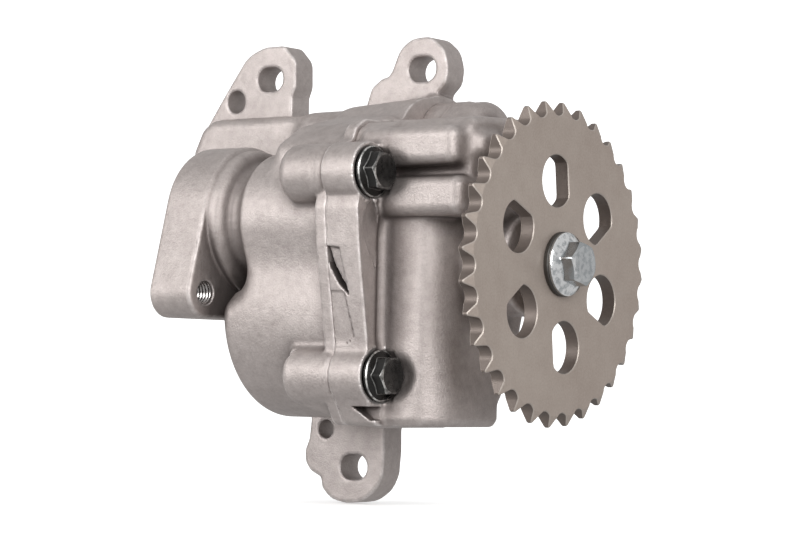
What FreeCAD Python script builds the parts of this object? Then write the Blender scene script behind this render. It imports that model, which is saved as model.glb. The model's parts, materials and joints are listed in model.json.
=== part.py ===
import FreeCAD, Part
import Sketcher
import math
import os
from FreeCAD import Vector, Placement, Rotation

# Engine oil pump, external gear type, driven by a chain sprocket.
# Working frame of every piece: the drive shaft's axis is the X axis through (0, 0), +X points out of the
# sprocket's front face, whose plane is x = 0. -Y faces away from the engine block, +Y towards it, +Z is up.
# Each finished piece is placed with one offset that puts the row's origin on the mounting face.

doc = FreeCAD.newDocument("oil_pump")
sheet = doc.addObject("Spreadsheet::Sheet", "Dimensions")
VAL = {}
_row = [1]


def dim(alias, value, note=""):
    r = _row[0]
    sheet.set("A%d" % r, alias)
    sheet.set("B%d" % r, repr(float(value)))
    sheet.setAlias("B%d" % r, alias)
    if note:
        sheet.set("C%d" % r, note)
    VAL[alias] = float(value)
    _row[0] = r + 1
    return alias


# placement of the whole pump in its row frame
dim("frame_dx", 100.0, "shift of the working frame along X")
dim("frame_dy", -24.0, "shift of the working frame along Y, puts the mounting face at Y = 0")
# planes along the shaft
dim("split_x", -57.0, "joint face between the two castings")
dim("rim_x", -61.0, "back of the rear casting's rim")
dim("seat_x", -44.5, "bolt seats of the gear housing's flange")
dim("cavity_x", -29.0, "front wall of the gear chamber")
dim("front_x", -25.0, "front face of the gear housing")
dim("block_x", -16.0, "front face of the upper block")
dim("nose_x", -10.0, "end of the front bearing boss")
dim("boss_end_x", -73.7, "blind end of the bolt bosses")
dim("round_end_x", -104.5, "rear end of the round body")
dim("inlet_back_x", -108.0, "back of the inlet flange")
dim("inlet_face_x", -125.0, "sealing face of the inlet flange")
# planes across
dim("ear_y", 14.0, "front face of the mounting plate")
dim("mount_y", 24.0, "mounting face")
dim("face_y", -30.0, "outer face of the gear housing")
dim("floor_z", -50.3, "underside of the gear housing")
# gears
dim("gear_module", 2.5)
dim("gear_teeth", 11)
dim("gear_angle", 25.0, "pressure angle, degrees")
dim("gear_backlash", 0.14)
dim("gear_tip_r", 16.25)
dim("gear_root_r", 10.625)
dim("gear_len", 27.92)
dim("gear_x", -56.96, "back face of both gears")
dim("cavity_r", 16.32)
dim("idler_y", -8.0)
dim("idler_z", -26.3106)
# shaft, bushes and pin
dim("shaft_r", 7.0)
dim("shaft_back_x", -78.0)
dim("shoulder_x", -4.9, "shoulder that the sprocket seats on")
dim("nose_r", 6.4)
dim("nose_flat", 5.2, "half width across the two drive flats")
dim("bush_in_r", 7.03)
dim("bush_out_r", 9.5)
dim("pin_r", 6.0)
dim("pin_back_x", -79.0)
dim("pin_front_x", -26.6)
dim("pin_bush_in_r", 6.03)
dim("pin_bush_out_r", 8.2)
dim("key_w", 3.0)
dim("key_h", 3.0)
# sprocket, 32 teeth for a 9.525 mm pitch chain
dim("chain_pitch", 9.525)
dim("sprocket_teeth", 32)
dim("sprocket_t", 4.9)
dim("sprocket_tip_r", 49.94)
dim("sprocket_pitch_r", 48.588)
dim("roller_seat_r", 3.2)
dim("hole_ring_r", 25.44)
dim("hole_r", 8.08)
dim("hole_flat", 6.24)
dim("hole_phase", 96.0, "angle of the first lightening hole from +Y, degrees")
dim("root_phase", 92.7, "angle of one tooth gap from +Y, degrees")
# fasteners
dim("hub_washer_r", 9.9)
dim("hub_washer_t", 1.6)
dim("hub_bolt_r", 4.0)
dim("hub_flange_r", 9.7)
dim("hub_hex_af", 12.0)
dim("hub_head_h", 7.2)
dim("hub_bolt_len", 24.0)
dim("bolt_r", 4.0)
dim("bolt_hole_r", 4.25)
dim("bolt_flange_r", 8.0)
dim("bolt_hex_af", 10.2)
dim("bolt_head_h", 5.8)
dim("bolt_len", 25.0)
dim("bolt_a_y", -38.1)
dim("bolt_a_z", 27.0)
dim("bolt_b_y", -32.5)
dim("bolt_b_z", -35.0)
dim("bolt_c_y", 15.4)
dim("bolt_c_z", 38.5)
dim("bolt_d_y", 14.0)
dim("bolt_d_z", -37.5)
dim("boss_r", 9.2)
dim("sleeve_out_r", 5.6)
dim("sleeve_len", 10.0)
# inlet
dim("neck_y", -17.0)
dim("neck_z", 14.2)
dim("neck_r", 21.4)
dim("inlet_bore_r", 15.5)
dim("inlet_disc_r", 24.2)
dim("inlet_lug_y", -40.0)
dim("inlet_lug_z", -9.6)
dim("inlet_lug_r", 8.0)
dim("inlet_screw_r", 3.4, "wall of the M8 threads")
dim("inlet_lug_b_y", 6.6)
dim("round_y", -4.0)
dim("round_z", -15.2)
dim("round_r", 33.4)
# outlet and core plug
dim("outlet_x", -80.0)
dim("outlet_z", -16.0)
dim("outlet_r", 8.0)
dim("oring_r", 12.0, "mean radius of the outlet seal")
dim("oring_s", 1.3, "radius of its section")
dim("plug_y", -1.0)
dim("plug_z", -27.0)
dim("plug_r", 17.0)
# mounting ears: slot centres in the X-Z plane
dim("slot_r", 4.2)
dim("slot_len", 11.0, "slot length end to end")
dim("ear_a_x", -127.8)
dim("ear_a_z", 64.8)
dim("ear_b_x", -64.2)
dim("ear_b_z", 64.8)
dim("ear_c_x", -89.1)
dim("ear_c_z", -64.8)
dim("pilot_x", -100.9)
dim("pilot_z", -52.6)
dim("pilot_r", 3.05)
dim("side_hole_x", -142.6)
dim("side_hole_z", 57.8)
dim("side_hole_r", 3.9)
# relief valve, axis along X
dim("relief_y", -2.0)
dim("relief_z", 33.0)
dim("relief_bore_r", 6.0)
dim("relief_piston_r", 5.96)
dim("relief_seat_x", -51.0)
dim("relief_thread_r", 8.0)
dim("relief_thread_x", -27.0)
dim("relief_feed_r", 3.5)
dim("relief_piston_len", 14.0)
dim("spring_mean_r", 3.7)
dim("spring_wire_r", 0.65)
dim("spring_turns", 6.5)
doc.recompute()

X, Y, Z = Vector(1, 0, 0), Vector(0, 1, 0), Vector(0, 0, 1)
ROT_X = Rotation(Vector(0, 1, 0), 90)      # a cylinder's own axis turned to +X
ROT_Y = Rotation(Vector(1, 0, 0), -90)     # turned to +Y
NODES = []
_n = [0]


def num(e):
    """Value of a sheet expression, for placing geometry before it is bound."""
    if isinstance(e, (int, float)):
        return float(e)
    return float(eval_terms(e))


def eval_terms(text):
    # sums and products of aliases and numbers only, read left to right
    total = 0.0
    for sign, term in terms(text):
        p = 1.0
        for f in term.split("*"):
            f = f.strip()
            p *= VAL[f] if f in VAL else float(f)
        total += sign * p
    return total


def terms(text):
    out, sign, cur = [], 1.0, ""
    for ch in text:
        if ch in "+-" and cur.strip():
            out.append((sign, cur.strip()))
            sign, cur = (1.0 if ch == "+" else -1.0), ""
        elif ch in "+-":
            sign = sign * (-1.0 if ch == "-" else 1.0)
        else:
            cur += ch
    out.append((sign, cur.strip()))
    return out


def cell(e, unit="mm"):
    """The same expression as the sheet sees it."""
    if isinstance(e, (int, float)):
        return "%r %s" % (float(e), unit)
    s = ""
    for sign, term in terms(e):
        fs = []
        for f in term.split("*"):
            f = f.strip()
            fs.append("Dimensions." + f if f in VAL else f)
        s += (" + " if sign > 0 else " - ") + " * ".join(fs)
    s = s.strip()
    if s.startswith("+"):
        s = s[1:].strip()
    elif s.startswith("-"):
        s = "0 " + s
    return "(%s) * 1 %s" % (s, unit)


def uniq(name):
    _n[0] += 1
    return "%s_%d" % (name, _n[0])


def place(o, x, y, z, rot):
    o.Placement = Placement(Vector(num(x), num(y), num(z)), rot)
    for k, e in zip("xyz", (x, y, z)):
        if not isinstance(e, (int, float)):
            o.setExpression("Placement.Base." + k, cell(e))
    return o


def cyl(r, x0, x1, y, z, name="rod"):
    """Cylinder along X from x0 to x1 at (y, z)."""
    o = doc.addObject("Part::Cylinder", uniq(name))
    length = "%s - %s" % (x1, x0) if not isinstance(x0, (int, float)) or not isinstance(x1, (int, float)) else x1 - x0
    if isinstance(length, str) and isinstance(x0, str) and x0.strip().startswith("-"):
        raise ValueError(x0)
    o.Radius = num(r)
    o.Height = num(x1) - num(x0)
    o.setExpression("Radius", cell(r))
    if isinstance(x0, str) or isinstance(x1, str):
        a = cell(x1) if isinstance(x1, str) else "%r mm" % float(x1)
        b = cell(x0) if isinstance(x0, str) else "%r mm" % float(x0)
        o.setExpression("Height", "%s - %s" % (a, b))
    return place(o, x0, y, z, ROT_X)


def cyl_y(r, y0, y1, x, z, name="rod"):
    """Cylinder along Y from y0 to y1 at (x, z)."""
    o = doc.addObject("Part::Cylinder", uniq(name))
    o.Radius = num(r)
    o.Height = num(y1) - num(y0)
    o.setExpression("Radius", cell(r))
    a = cell(y1) if isinstance(y1, str) else "%r mm" % float(y1)
    b = cell(y0) if isinstance(y0, str) else "%r mm" % float(y0)
    if isinstance(y0, str) or isinstance(y1, str):
        o.setExpression("Height", "%s - %s" % (a, b))
    return place(o, x, y0, z, ROT_Y)


def cone(r0, r1, x0, x1, y, z, name="taper"):
    o = doc.addObject("Part::Cone", uniq(name))
    o.Radius1, o.Radius2, o.Height = num(r0), num(r1), num(x1) - num(x0)
    o.setExpression("Radius1", cell(r0))
    o.setExpression("Radius2", cell(r1))
    return place(o, x0, y, z, ROT_X)


def box(x0, x1, y0, y1, z0, z1, name="block"):
    o = doc.addObject("Part::Box", uniq(name))
    o.Length, o.Width, o.Height = num(x1) - num(x0), num(y1) - num(y0), num(z1) - num(z0)
    for prop, lo, hi in (("Length", x0, x1), ("Width", y0, y1), ("Height", z0, z1)):
        if isinstance(lo, str) or isinstance(hi, str):
            a = cell(hi) if isinstance(hi, str) else "%r mm" % float(hi)
            b = cell(lo) if isinstance(lo, str) else "%r mm" % float(lo)
            o.setExpression(prop, "%s - %s" % (a, b))
    return place(o, x0, y0, z0, Rotation())


def prism(sides_af, x0, x1, y, z, name="hex", turn=0.0):
    """Hexagonal prism along X, given its width across flats."""
    o = doc.addObject("Part::Prism", uniq(name))
    o.Polygon = 6
    o.Circumradius = num(sides_af) / math.sqrt(3.0)
    o.Height = num(x1) - num(x0)
    o.setExpression("Circumradius", cell(sides_af) + " / sqrt(3)")
    return place(o, x0, y, z, ROT_X.multiply(Rotation(Vector(0, 0, 1), turn)))


def plane(body, role):
    for f in body.Origin.OriginFeatures:
        if f.Role == role:
            return f
    raise RuntimeError(role)


def outline(name, role, points, offset, length):
    """A body with one closed straight-edged sketch, padded along its plane's normal.
    Each corner's two coordinates are dimensions of the sketch, bound to the sheet."""
    body = doc.addObject("PartDesign::Body", uniq(name))
    sk = body.newObject("Sketcher::SketchObject", uniq(name + "_sketch"))
    sk.AttachmentSupport = [(plane(body, role), "")]
    sk.MapMode = "FlatFace"
    sk.AttachmentOffset = Placement(Vector(0, 0, num(offset)), Rotation())
    if isinstance(offset, str):
        sk.setExpression("AttachmentOffset.Base.z", cell(offset))
    n = len(points)
    p = [Vector(num(a), num(b), 0) for a, b in points]
    for i in range(n):
        sk.addGeometry(Part.LineSegment(p[i], p[(i + 1) % n]), False)
    for i in range(n):
        sk.addConstraint(Sketcher.Constraint("Coincident", i, 2, (i + 1) % n, 1))
    for i, (a, b) in enumerate(points):
        for kind, e, tag in (("DistanceX", a, "x"), ("DistanceY", b, "y")):
            if abs(num(e)) < 1e-9:
                sk.addConstraint(Sketcher.Constraint("PointOnObject", i, 1, -2 if kind == "DistanceX" else -1))
                continue
            k = sk.addConstraint(Sketcher.Constraint(kind, -1, 1, i, 1, num(e)))
            if isinstance(e, str):
                label = "p%d%s" % (i, tag)
                sk.renameConstraint(k, label)
                sk.setExpression("Constraints." + label, cell(e))
    pad = body.newObject("PartDesign::Pad", uniq(name + "_pad"))
    pad.Profile = sk
    pad.Length = num(length)
    if isinstance(length, str):
        pad.setExpression("Length", cell(length))
    body.Tip = pad
    doc.recompute()
    if not sk.Shape.isValid() or pad.Shape.Volume < 1e-3:
        raise RuntimeError("outline " + name)
    return body


def fuse(name, parts, refine=True):
    o = doc.addObject("Part::MultiFuse", uniq(name))
    o.Shapes = parts
    o.Refine = refine
    return o


def cut(name, base, tools):
    o = doc.addObject("Part::Cut", uniq(name))
    o.Base = base
    o.Tool = tools[0] if len(tools) == 1 else fuse(name + "_tools", tools, False)
    o.Refine = True
    return o


def round_edges(obj, name, radius, pick):
    """Part::Fillet on the edges that pick() accepts."""
    doc.recompute()
    ids = [(i + 1, radius, radius) for i, e in enumerate(obj.Shape.Edges) if pick(e)]
    if not ids:
        raise RuntimeError("no edge for " + name)
    f = doc.addObject("Part::Fillet", uniq(name))
    f.Base = obj
    f.Edges = ids
    doc.recompute()
    if "Invalid" in f.State or f.Shape.isNull() or not f.Shape.isValid():
        doc.removeObject(f.Name)
        print("fillet left out:", name)
        return obj
    return f


def node(name, obj):
    obj.Label = name
    bound = dict((path, e) for path, e in obj.ExpressionEngine)
    p = obj.Placement
    obj.Placement = Placement(Vector(VAL["frame_dx"], VAL["frame_dy"], 0).add(p.Base), p.Rotation)
    for k, shift, at in (("x", "frame_dx", p.Base.x), ("y", "frame_dy", p.Base.y)):
        path = "Placement.Base." + k
        old = bound.get(path, bound.get("." + path, "%r mm" % at))
        obj.setExpression(path, "(%s) + Dimensions.%s * 1 mm" % (old, shift))
    NODES.append((name, obj))


def finish(name, parts, tools=None):
    o = fuse(name, parts) if len(parts) > 1 else parts[0]
    if tools:
        o = cut(name, o, tools)
    node(name, o)
    return o


# ---------------------------------------------------------------- rear housing
# Mounting plate with its three ears: outline in the X-Z plane, thickness along Y.
# The sketch's plane looks along -Y, so its offset is the mounting face with its sign turned.
plate_pts = [(-152.0, 54.8), (-135.4, 73.2), (-122.0, 66.0), (-116.9, 62.5), (-117.6, 50.4), (-88.5, 50.4), (-86.4, 55.8), (-83.6, 61.6),
             (-78.2, 63.6), (-75.8, 60.0), (-57.0, 60.0), (-57.0, -50.3), (-76.6, -50.3), (-76.8, -62.0), (-92.0, -76.6),
             (-102.2, -70.2), (-107.6, -66.6), (-109.6, -62.6), (-109.6, -58.6), (-107.2, -54.2), (-107.4, -46.0),
             (-116.0, -34.0), (-128.0, -17.0), (-141.0, 2.0), (-152.0, 22.0), (-158.6, 41.0), (-155.6, 50.2)]
plate = outline("mount_plate", "XZ_Plane", plate_pts, "0 - mount_y", "mount_y - ear_y")
lobe_a = cyl_y(11.1, "ear_y", "mount_y", "ear_a_x", "ear_a_z", "ear_lobe")
lobe_b = cyl_y(10.9, "ear_y", "mount_y", "ear_b_x - 1.0", "ear_b_z - 0.2", "ear_lobe")
lobe_c = cyl_y(12.0, "ear_y", "mount_y", "ear_c_x", "ear_c_z", "ear_lobe")
# Round body, neck, inlet flange
round_body = cyl("round_r", "round_end_x", "split_x", "round_y", "round_z", "round_body")
neck = cyl("neck_r", "inlet_back_x - 1", "split_x", "neck_y", "neck_z", "neck")
collar = cyl("inlet_disc_r - 0.4", "inlet_back_x", "inlet_back_x + 5", "neck_y", "neck_z", "collar")
disc = cyl("inlet_disc_r", "inlet_face_x", "inlet_back_x", "neck_y", "neck_z", "inlet_disc")
lug_a = cyl("inlet_lug_r", "inlet_face_x", "inlet_back_x", "inlet_lug_y", "inlet_lug_z", "inlet_lug")
lug_b = cyl("inlet_lug_r", "inlet_face_x", "inlet_back_x", "inlet_lug_b_y", "inlet_lug_z", "inlet_lug")
inlet_web = outline("inlet_web", "YZ_Plane",
                    [(-47.8, -7.6), (-40.4, 20.4), (-17.0, 37.0), (6.9, 17.6), (14.5, -8.0), (6.6, -17.6), (-40.0, -17.6)],
                    "inlet_face_x", "inlet_back_x - inlet_face_x")
# Bolt bosses and the rim along the joint face
boss_a = cyl("boss_r", "boss_end_x", "split_x", "bolt_a_y", "bolt_a_z", "boss")
boss_b = cyl("boss_r", "boss_end_x", "split_x", "bolt_b_y", "bolt_b_z", "boss")
boss_d = cyl("boss_r", "boss_end_x", "split_x", "bolt_d_y", "bolt_d_z", "boss")
joint_pts = [(-44.7, 16.0), (-43.6, 4.5), (-42.1, -4.7), (-38.7, -24.5), (-37.5, -43.0), (-33.0, -50.3), (6.0, -50.3), (19.0, -45.0),
             (24.0, -37.0), (24.0, 56.2), (20.0, 56.2), (9.0, 52.3), (3.0, 47.2), (-4.0, 45.8), (-18.6, 44.4), (-30.3, 40.8), (-41.0, 35.0)]
rim = outline("joint_rim", "YZ_Plane", joint_pts, "rim_x", "split_x - rim_x")
# Shoulder above the neck, and the ridge that runs back from it along the plate's top
shoulder = outline("shoulder", "YZ_Plane",
                   [(15.0, 50.4), (-6.0, 48.6), (-20.0, 45.0), (-33.0, 38.5), (-35.0, 27.0), (-17.0, 8.0), (15.0, 8.0)], -92.0, "split_x + 92.0")
ridge = outline("ridge", "YZ_Plane",
                [(15.0, 50.6), (-3.0, 50.2), (-7.5, 47.6), (-9.0, 44.0), (-6.5, 40.6), (15.0, 38.0)], -138.0, "split_x + 138.0")
web_low = outline("low_web", "YZ_Plane",
                  [(15.0, -48.6), (-8.0, -48.4), (-30.0, -44.0), (-36.0, -40.0), (-30.0, -10.0), (15.0, -10.0)], -78.0, "split_x + 78.0")
solid_rear = fuse("rear_solid", [plate, lobe_a, lobe_b, lobe_c, round_body, neck, collar, disc, lug_a, lug_b, inlet_web, boss_a, boss_b,
                                 boss_d, rim, shoulder, ridge, web_low])
half = "0.5*slot_len - slot_r"
ear_cuts = []
for ex, ez in (("ear_a_x", "ear_a_z"), ("ear_b_x", "ear_b_z"), ("ear_c_x", "ear_c_z")):
    ear_cuts.append(cyl_y("slot_r", "ear_y - 1", "mount_y + 1", ex + " - 0.5*slot_len + slot_r", ez, "slot_end"))
    ear_cuts.append(cyl_y("slot_r", "ear_y - 1", "mount_y + 1", ex + " + 0.5*slot_len - slot_r", ez, "slot_end"))
    ear_cuts.append(box(ex + " - 0.5*slot_len + slot_r", ex + " + 0.5*slot_len - slot_r", "ear_y - 1", "mount_y + 1",
                        ez + " - slot_r", ez + " + slot_r", "slot_middle"))
ear_cuts += [cyl_y("pilot_r", "ear_y - 1", "mount_y + 1", "pilot_x", "pilot_z", "pilot_hole"),
             cyl_y("side_hole_r", "ear_y - 1", "mount_y + 1", "side_hole_x", "side_hole_z", "side_hole")]
rear_cuts = ear_cuts + [
    # everything behind the mounting face
    box(-170.0, 0.0, "mount_y", "mount_y + 40", -80.0, 80.0, "behind_face"),
    # inlet: neck bore, mouth counterbore, duct to the gears, inlet lug threads
    cyl("inlet_bore_r", "inlet_face_x - 1", -86.0, "neck_y", "neck_z", "neck_bore"),
    cyl("inlet_bore_r + 2", "inlet_face_x - 1", "inlet_face_x + 3", "neck_y", "neck_z", "mouth"),
    cyl(9.0, -94.0, "split_x + 1", -19.0, -9.0, "inlet_duct"),
    cyl("inlet_screw_r", "inlet_face_x - 1", "inlet_back_x + 1", "inlet_lug_y", "inlet_lug_z", "inlet_thread"),
    cyl("inlet_screw_r", "inlet_face_x - 1", "inlet_back_x - 1", "inlet_lug_b_y", "inlet_lug_z", "inlet_thread"),
    # outlet: duct from the gears, port through the mounting face, groove of its seal
    cyl(6.0, -86.0, "split_x + 1", 9.0, "outlet_z", "outlet_duct"),
    cyl_y("outlet_r", 9.0, "mount_y + 1", "outlet_x", "outlet_z", "outlet_port"),
    # core opening at the rear, closed by the core plug, joined to the inlet side
    cyl("plug_r", "round_end_x - 1", "round_end_x + 9", "plug_y", "plug_z", "plug_seat"),
    cyl("plug_r - 3", "round_end_x + 8", -84.0, "plug_y - 5.0", "plug_z + 3", "core"),
    # bushing, idler pin and bolts
    cyl("bush_out_r", -79.5, "split_x + 1", 0.0, 0.0, "bush_seat"),
    cyl("pin_r", "pin_back_x", "split_x + 1", "idler_y", "idler_z", "pin_seat"),
    # feed to the relief valve: along X from the joint face, then across to the outlet duct
    cyl("relief_feed_r", -68.0, "split_x + 1", "relief_y", "relief_z", "feed"),
]
for by, bz in (("bolt_a_y", "bolt_a_z"), ("bolt_b_y", "bolt_b_z"), ("bolt_c_y", "bolt_c_z"), ("bolt_d_y", "bolt_d_z")):
    rear_cuts.append(cyl("bolt_r", "seat_x - bolt_len - 1", "split_x + 1", by, bz, "bolt_thread"))
for by, bz in (("bolt_a_y", "bolt_a_z"), ("bolt_d_y", "bolt_d_z")):
    rear_cuts.append(cyl("sleeve_out_r", "split_x - 0.5*sleeve_len", "split_x + 1", by, bz, "sleeve_seat"))
# seal groove, a ring cut around the outlet port
groove = cut("seal_groove", cyl_y("oring_r + oring_s", "mount_y - 2*oring_s", "mount_y + 1", "outlet_x", "outlet_z", "groove_out"),
             [cyl_y("oring_r - oring_s", "mount_y - 4", "mount_y + 2", "outlet_x", "outlet_z", "groove_in")])
rear_cuts.append(groove)
# slanted cross duct between the feed and the outlet duct, both ends inside them
a0, a1 = Vector(-66.0, VAL["relief_y"], VAL["relief_z"]), Vector(-66.0, 12.0, VAL["outlet_z"] + 1.0)
cross = doc.addObject("Part::Cylinder", "cross_duct")
cross.Radius = 2.6
cross.Height = 1.0
mid = Vector(-66.0, 16.0, 10.0)
legs = []
for p, q in ((a0, mid), (mid, a1)):
    d = q.sub(p)
    c = cross if not legs else doc.addObject("Part::Cylinder", "cross_duct_b")
    c.Radius = 2.6
    c.Height = d.Length
    c.Placement = Placement(p, Rotation(Vector(0, 0, 1), d))
    legs.append(c)
rear_cuts += legs
elbow = doc.addObject("Part::Sphere", "cross_elbow")
elbow.Radius = 3.0
elbow.Placement = Placement(mid, Rotation())
rear_cuts.append(elbow)
doc.recompute()
rear = cut("rear_housing", solid_rear, rear_cuts)
node("rear_housing", rear)

# ---------------------------------------------------------------- gear housing
case_pts = joint_pts[:9] + [(24.0, 51.0), (14.0, 51.4), (8.4, 50.6), (2.6, 46.0), (-4.0, 45.0), (-18.6, 43.6), (-30.3, 40.0), (-41.0, 34.4)]
flange = outline("joint_flange", "YZ_Plane", case_pts, "split_x", "seat_x - split_x")
ear_a = cyl("boss_r", "split_x", "seat_x", "bolt_a_y", "bolt_a_z", "seat")
ear_b = cyl("boss_r", "split_x", "seat_x", "bolt_b_y", "bolt_b_z", "seat")
body_pts = [(-30.0, 14.0), (-30.0, -48.3), (-28.0, -50.3), (3.0, -50.3), (5.0, -48.3), (5.0, -43.5), (10.5, -36.0), (14.5, -28.0), (18.5, -14.0),
            (21.4, -6.0), (21.8, 14.0)]
main_block = outline("main_block", "YZ_Plane", body_pts, "seat_x - 2", "front_x - seat_x + 2")


main_block = round_edges(main_block, "block_round", 12.0, lambda e: e.BoundBox.XLength < 0.1 and e.BoundBox.XMax > -40 and e.BoundBox.YMax < -27.9)
upper_pts = [(-28.6, 10.0), (-28.6, 40.2), (-24.0, 43.0), (-10.0, 48.6), (2.0, 50.3), (8.0, 48.5), (11.0, 40.0), (11.0, 10.0)]
upper_block = outline("upper_block", "YZ_Plane", upper_pts, "seat_x - 2", "block_x - seat_x + 2")
upper_block = round_edges(upper_block, "upper_round", 5.0, lambda e: e.BoundBox.XLength < 0.1 and e.BoundBox.XMax > -20 and e.BoundBox.YMax < 8.1)
ridges = []
for z0, z1, x_end in ((29.2, 40.6, -15.6), (14.6, 25.8, -17.2)):
    r = box("seat_x - 2", x_end, -33.4, -20.0, z0, z1, "ridge")
    ridges.append(round_edges(r, "ridge_round", 4.2, lambda e: (e.BoundBox.YMax < -33.0 and e.BoundBox.XMax > -20) or (e.BoundBox.XLength < 0.1 and e.BoundBox.XMax > -20 and e.BoundBox.YMax < -33.0)))
ridge_a, ridge_b = ridges
nose = cyl(16.0, "front_x - 1", "nose_x", 0.0, 0.0, "bearing_boss")
back_block = outline("back_block", "YZ_Plane", [(-10.0, 10.0), (-10.0, 46.0), (8.0, 49.6), (20.0, 49.6), (22.5, 44.0), (22.5, 10.0)], "seat_x - 2", 10.0)
solid_front = fuse("gear_solid", [flange, ear_a, ear_b, main_block, upper_block, ridge_a, ridge_b, nose, back_block])
front_cuts = [
    cyl("cavity_r", "split_x - 1", "cavity_x", 0.0, 0.0, "gear_chamber"),
    cyl("cavity_r", "split_x - 1", "cavity_x", "idler_y", "idler_z", "gear_chamber"),
    cyl(7.0, "split_x - 1", -34.0, -19.5, -8.5, "inlet_pocket"),
    cyl(6.0, "split_x - 1", -40.0, 9.5, -17.0, "outlet_pocket"),
    cyl("bush_out_r", "cavity_x - 1", "nose_x + 1", 0.0, 0.0, "bush_seat"),
    cyl("pin_r", "cavity_x - 1", "pin_front_x", "idler_y", "idler_z", "pin_seat"),
    cyl("relief_bore_r", "relief_seat_x", "block_x + 2", "relief_y", "relief_z", "relief_bore"),
    cyl("relief_thread_r", "relief_thread_x", "block_x + 2", "relief_y", "relief_z", "relief_thread"),
    cyl("relief_feed_r", "split_x - 1", "relief_seat_x + 1", "relief_y", "relief_z", "feed"),
]
for by, bz in (("bolt_a_y", "bolt_a_z"), ("bolt_b_y", "bolt_b_z"), ("bolt_c_y", "bolt_c_z"), ("bolt_d_y", "bolt_d_z")):
    front_cuts.append(cyl("bolt_hole_r", "split_x - 1", "seat_x + 1", by, bz, "bolt_hole"))
    front_cuts.append(cyl("bolt_flange_r + 0.4", "seat_x", "seat_x + 9", by, bz, "head_room"))
    front_cuts.append(cone("bolt_flange_r + 0.4", 3.0, "seat_x + 9", "seat_x + 15", by, bz, "head_room_end"))
for by, bz in (("bolt_a_y", "bolt_a_z"), ("bolt_d_y", "bolt_d_z")):
    front_cuts.append(cyl("sleeve_out_r", "split_x - 1", "split_x + 0.5*sleeve_len", by, bz, "sleeve_seat"))
# pry slot in the joint face, a wedge open to the outer edge
front_cuts.append(outline("pry_slot", "YZ_Plane", [(-50.0, 7.0), (-38.6, 7.0), (-35.6, -17.0), (-50.0, -17.0)], "split_x - 1", 4.2))
# relief return: from the valve bore down to the inlet pocket
for r0, r1 in ((Vector(-43.0, VAL["relief_y"], VAL["relief_z"] - 3.0), Vector(-43.0, -22.0, 12.0)),
               (Vector(-43.0, -22.0, 12.0), Vector(-43.0, -20.0, -8.0))):
    ret = doc.addObject("Part::Cylinder", uniq("return_duct"))
    ret.Radius = 2.4
    ret.Height = r1.sub(r0).Length
    ret.Placement = Placement(r0, Rotation(Vector(0, 0, 1), r1.sub(r0)))
    front_cuts.append(ret)
front_cuts.append(doc.addObject("Part::Sphere", "return_elbow"))
front_cuts[-1].Radius = 2.8
front_cuts[-1].Placement = Placement(Vector(-43.0, -22.0, 12.0), Rotation())
doc.recompute()
gear_case = cut("gear_housing", solid_front, front_cuts)
node("gear_housing", gear_case)


# ---------------------------------------------------------------- gears
def involute_gear(module, teeth, alpha, backlash, tip_r, root_r, bore_r, x0, length, y, z, turn):
    """Spur gear along X. Flanks are involutes of the base circle, splined through sampled points."""
    pr = module * teeth / 2.0
    br = pr * math.cos(alpha)
    inv = math.tan(alpha) - alpha
    half_tooth = math.pi / (2.0 * teeth) - backlash / (2.0 * pr)

    def flank(r):
        if r <= br:
            return half_tooth + inv
        a = math.acos(br / r)
        return half_tooth + inv - (math.tan(a) - a)

    edges = []
    radii = [br + (tip_r - br) * (i / 7.0) ** 1.5 for i in range(8)]
    pt = lambda r, a: Vector(0, r * math.cos(a), r * math.sin(a))
    for k in range(teeth):
        c = turn + 2.0 * math.pi * k / teeth
        nxt = c + 2.0 * math.pi / teeth
        lead = [pt(r, c - flank(r)) for r in radii]
        trail = [pt(r, c + flank(r)) for r in reversed(radii)]
        s = Part.BSplineCurve()
        s.interpolate(lead)
        t = Part.BSplineCurve()
        t.interpolate(trail)
        edges.append(Part.makeLine(pt(root_r, c - flank(br)), lead[0]))
        edges.append(s.toShape())
        edges.append(Part.Arc(lead[-1], pt(tip_r, c), trail[0]).toShape())
        edges.append(t.toShape())
        edges.append(Part.makeLine(trail[-1], pt(root_r, c + flank(br))))
        edges.append(Part.Arc(pt(root_r, c + flank(br)), pt(root_r, 0.5 * (c + nxt)), pt(root_r, nxt - flank(br))).toShape())
    face = Part.Face(Part.Wire(edges))
    solid = face.extrude(Vector(length, 0, 0))
    bore = Part.makeCylinder(bore_r, length + 2, Vector(-1, 0, 0), Vector(1, 0, 0))
    solid = solid.cut(bore)
    solid.translate(Vector(x0, y, z))
    return solid


teeth = int(VAL["gear_teeth"])
alpha = math.radians(VAL["gear_angle"])
to_idler = math.atan2(VAL["idler_z"], VAL["idler_y"])
step = 2.0 * math.pi / teeth
# a tooth of the driving gear points at the idler, a gap of the idler points back at it
drive_shape = involute_gear(VAL["gear_module"], teeth, alpha, VAL["gear_backlash"], VAL["gear_tip_r"], VAL["gear_root_r"], VAL["shaft_r"],
                            VAL["gear_x"], VAL["gear_len"], 0.0, 0.0, to_idler)
idler_shape = involute_gear(VAL["gear_module"], teeth, alpha, VAL["gear_backlash"], VAL["gear_tip_r"], VAL["gear_root_r"], VAL["pin_bush_out_r"],
                            VAL["gear_x"], VAL["gear_len"], VAL["idler_y"], VAL["idler_z"], to_idler + math.pi + step / 2.0)
kw, kh, sr = VAL["key_w"], VAL["key_h"], VAL["shaft_r"]
keyway = Part.makeBox(VAL["gear_len"] + 2, kw, kh, Vector(VAL["gear_x"] - 1, -kw / 2, sr - kh / 2))
drive_shape = drive_shape.cut(keyway)
f = doc.addObject("Part::Feature", "drive_gear_shape")
f.Shape = drive_shape
node("drive_gear", f)
f = doc.addObject("Part::Feature", "idler_gear_shape")
f.Shape = idler_shape
node("idler_gear", f)

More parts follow.
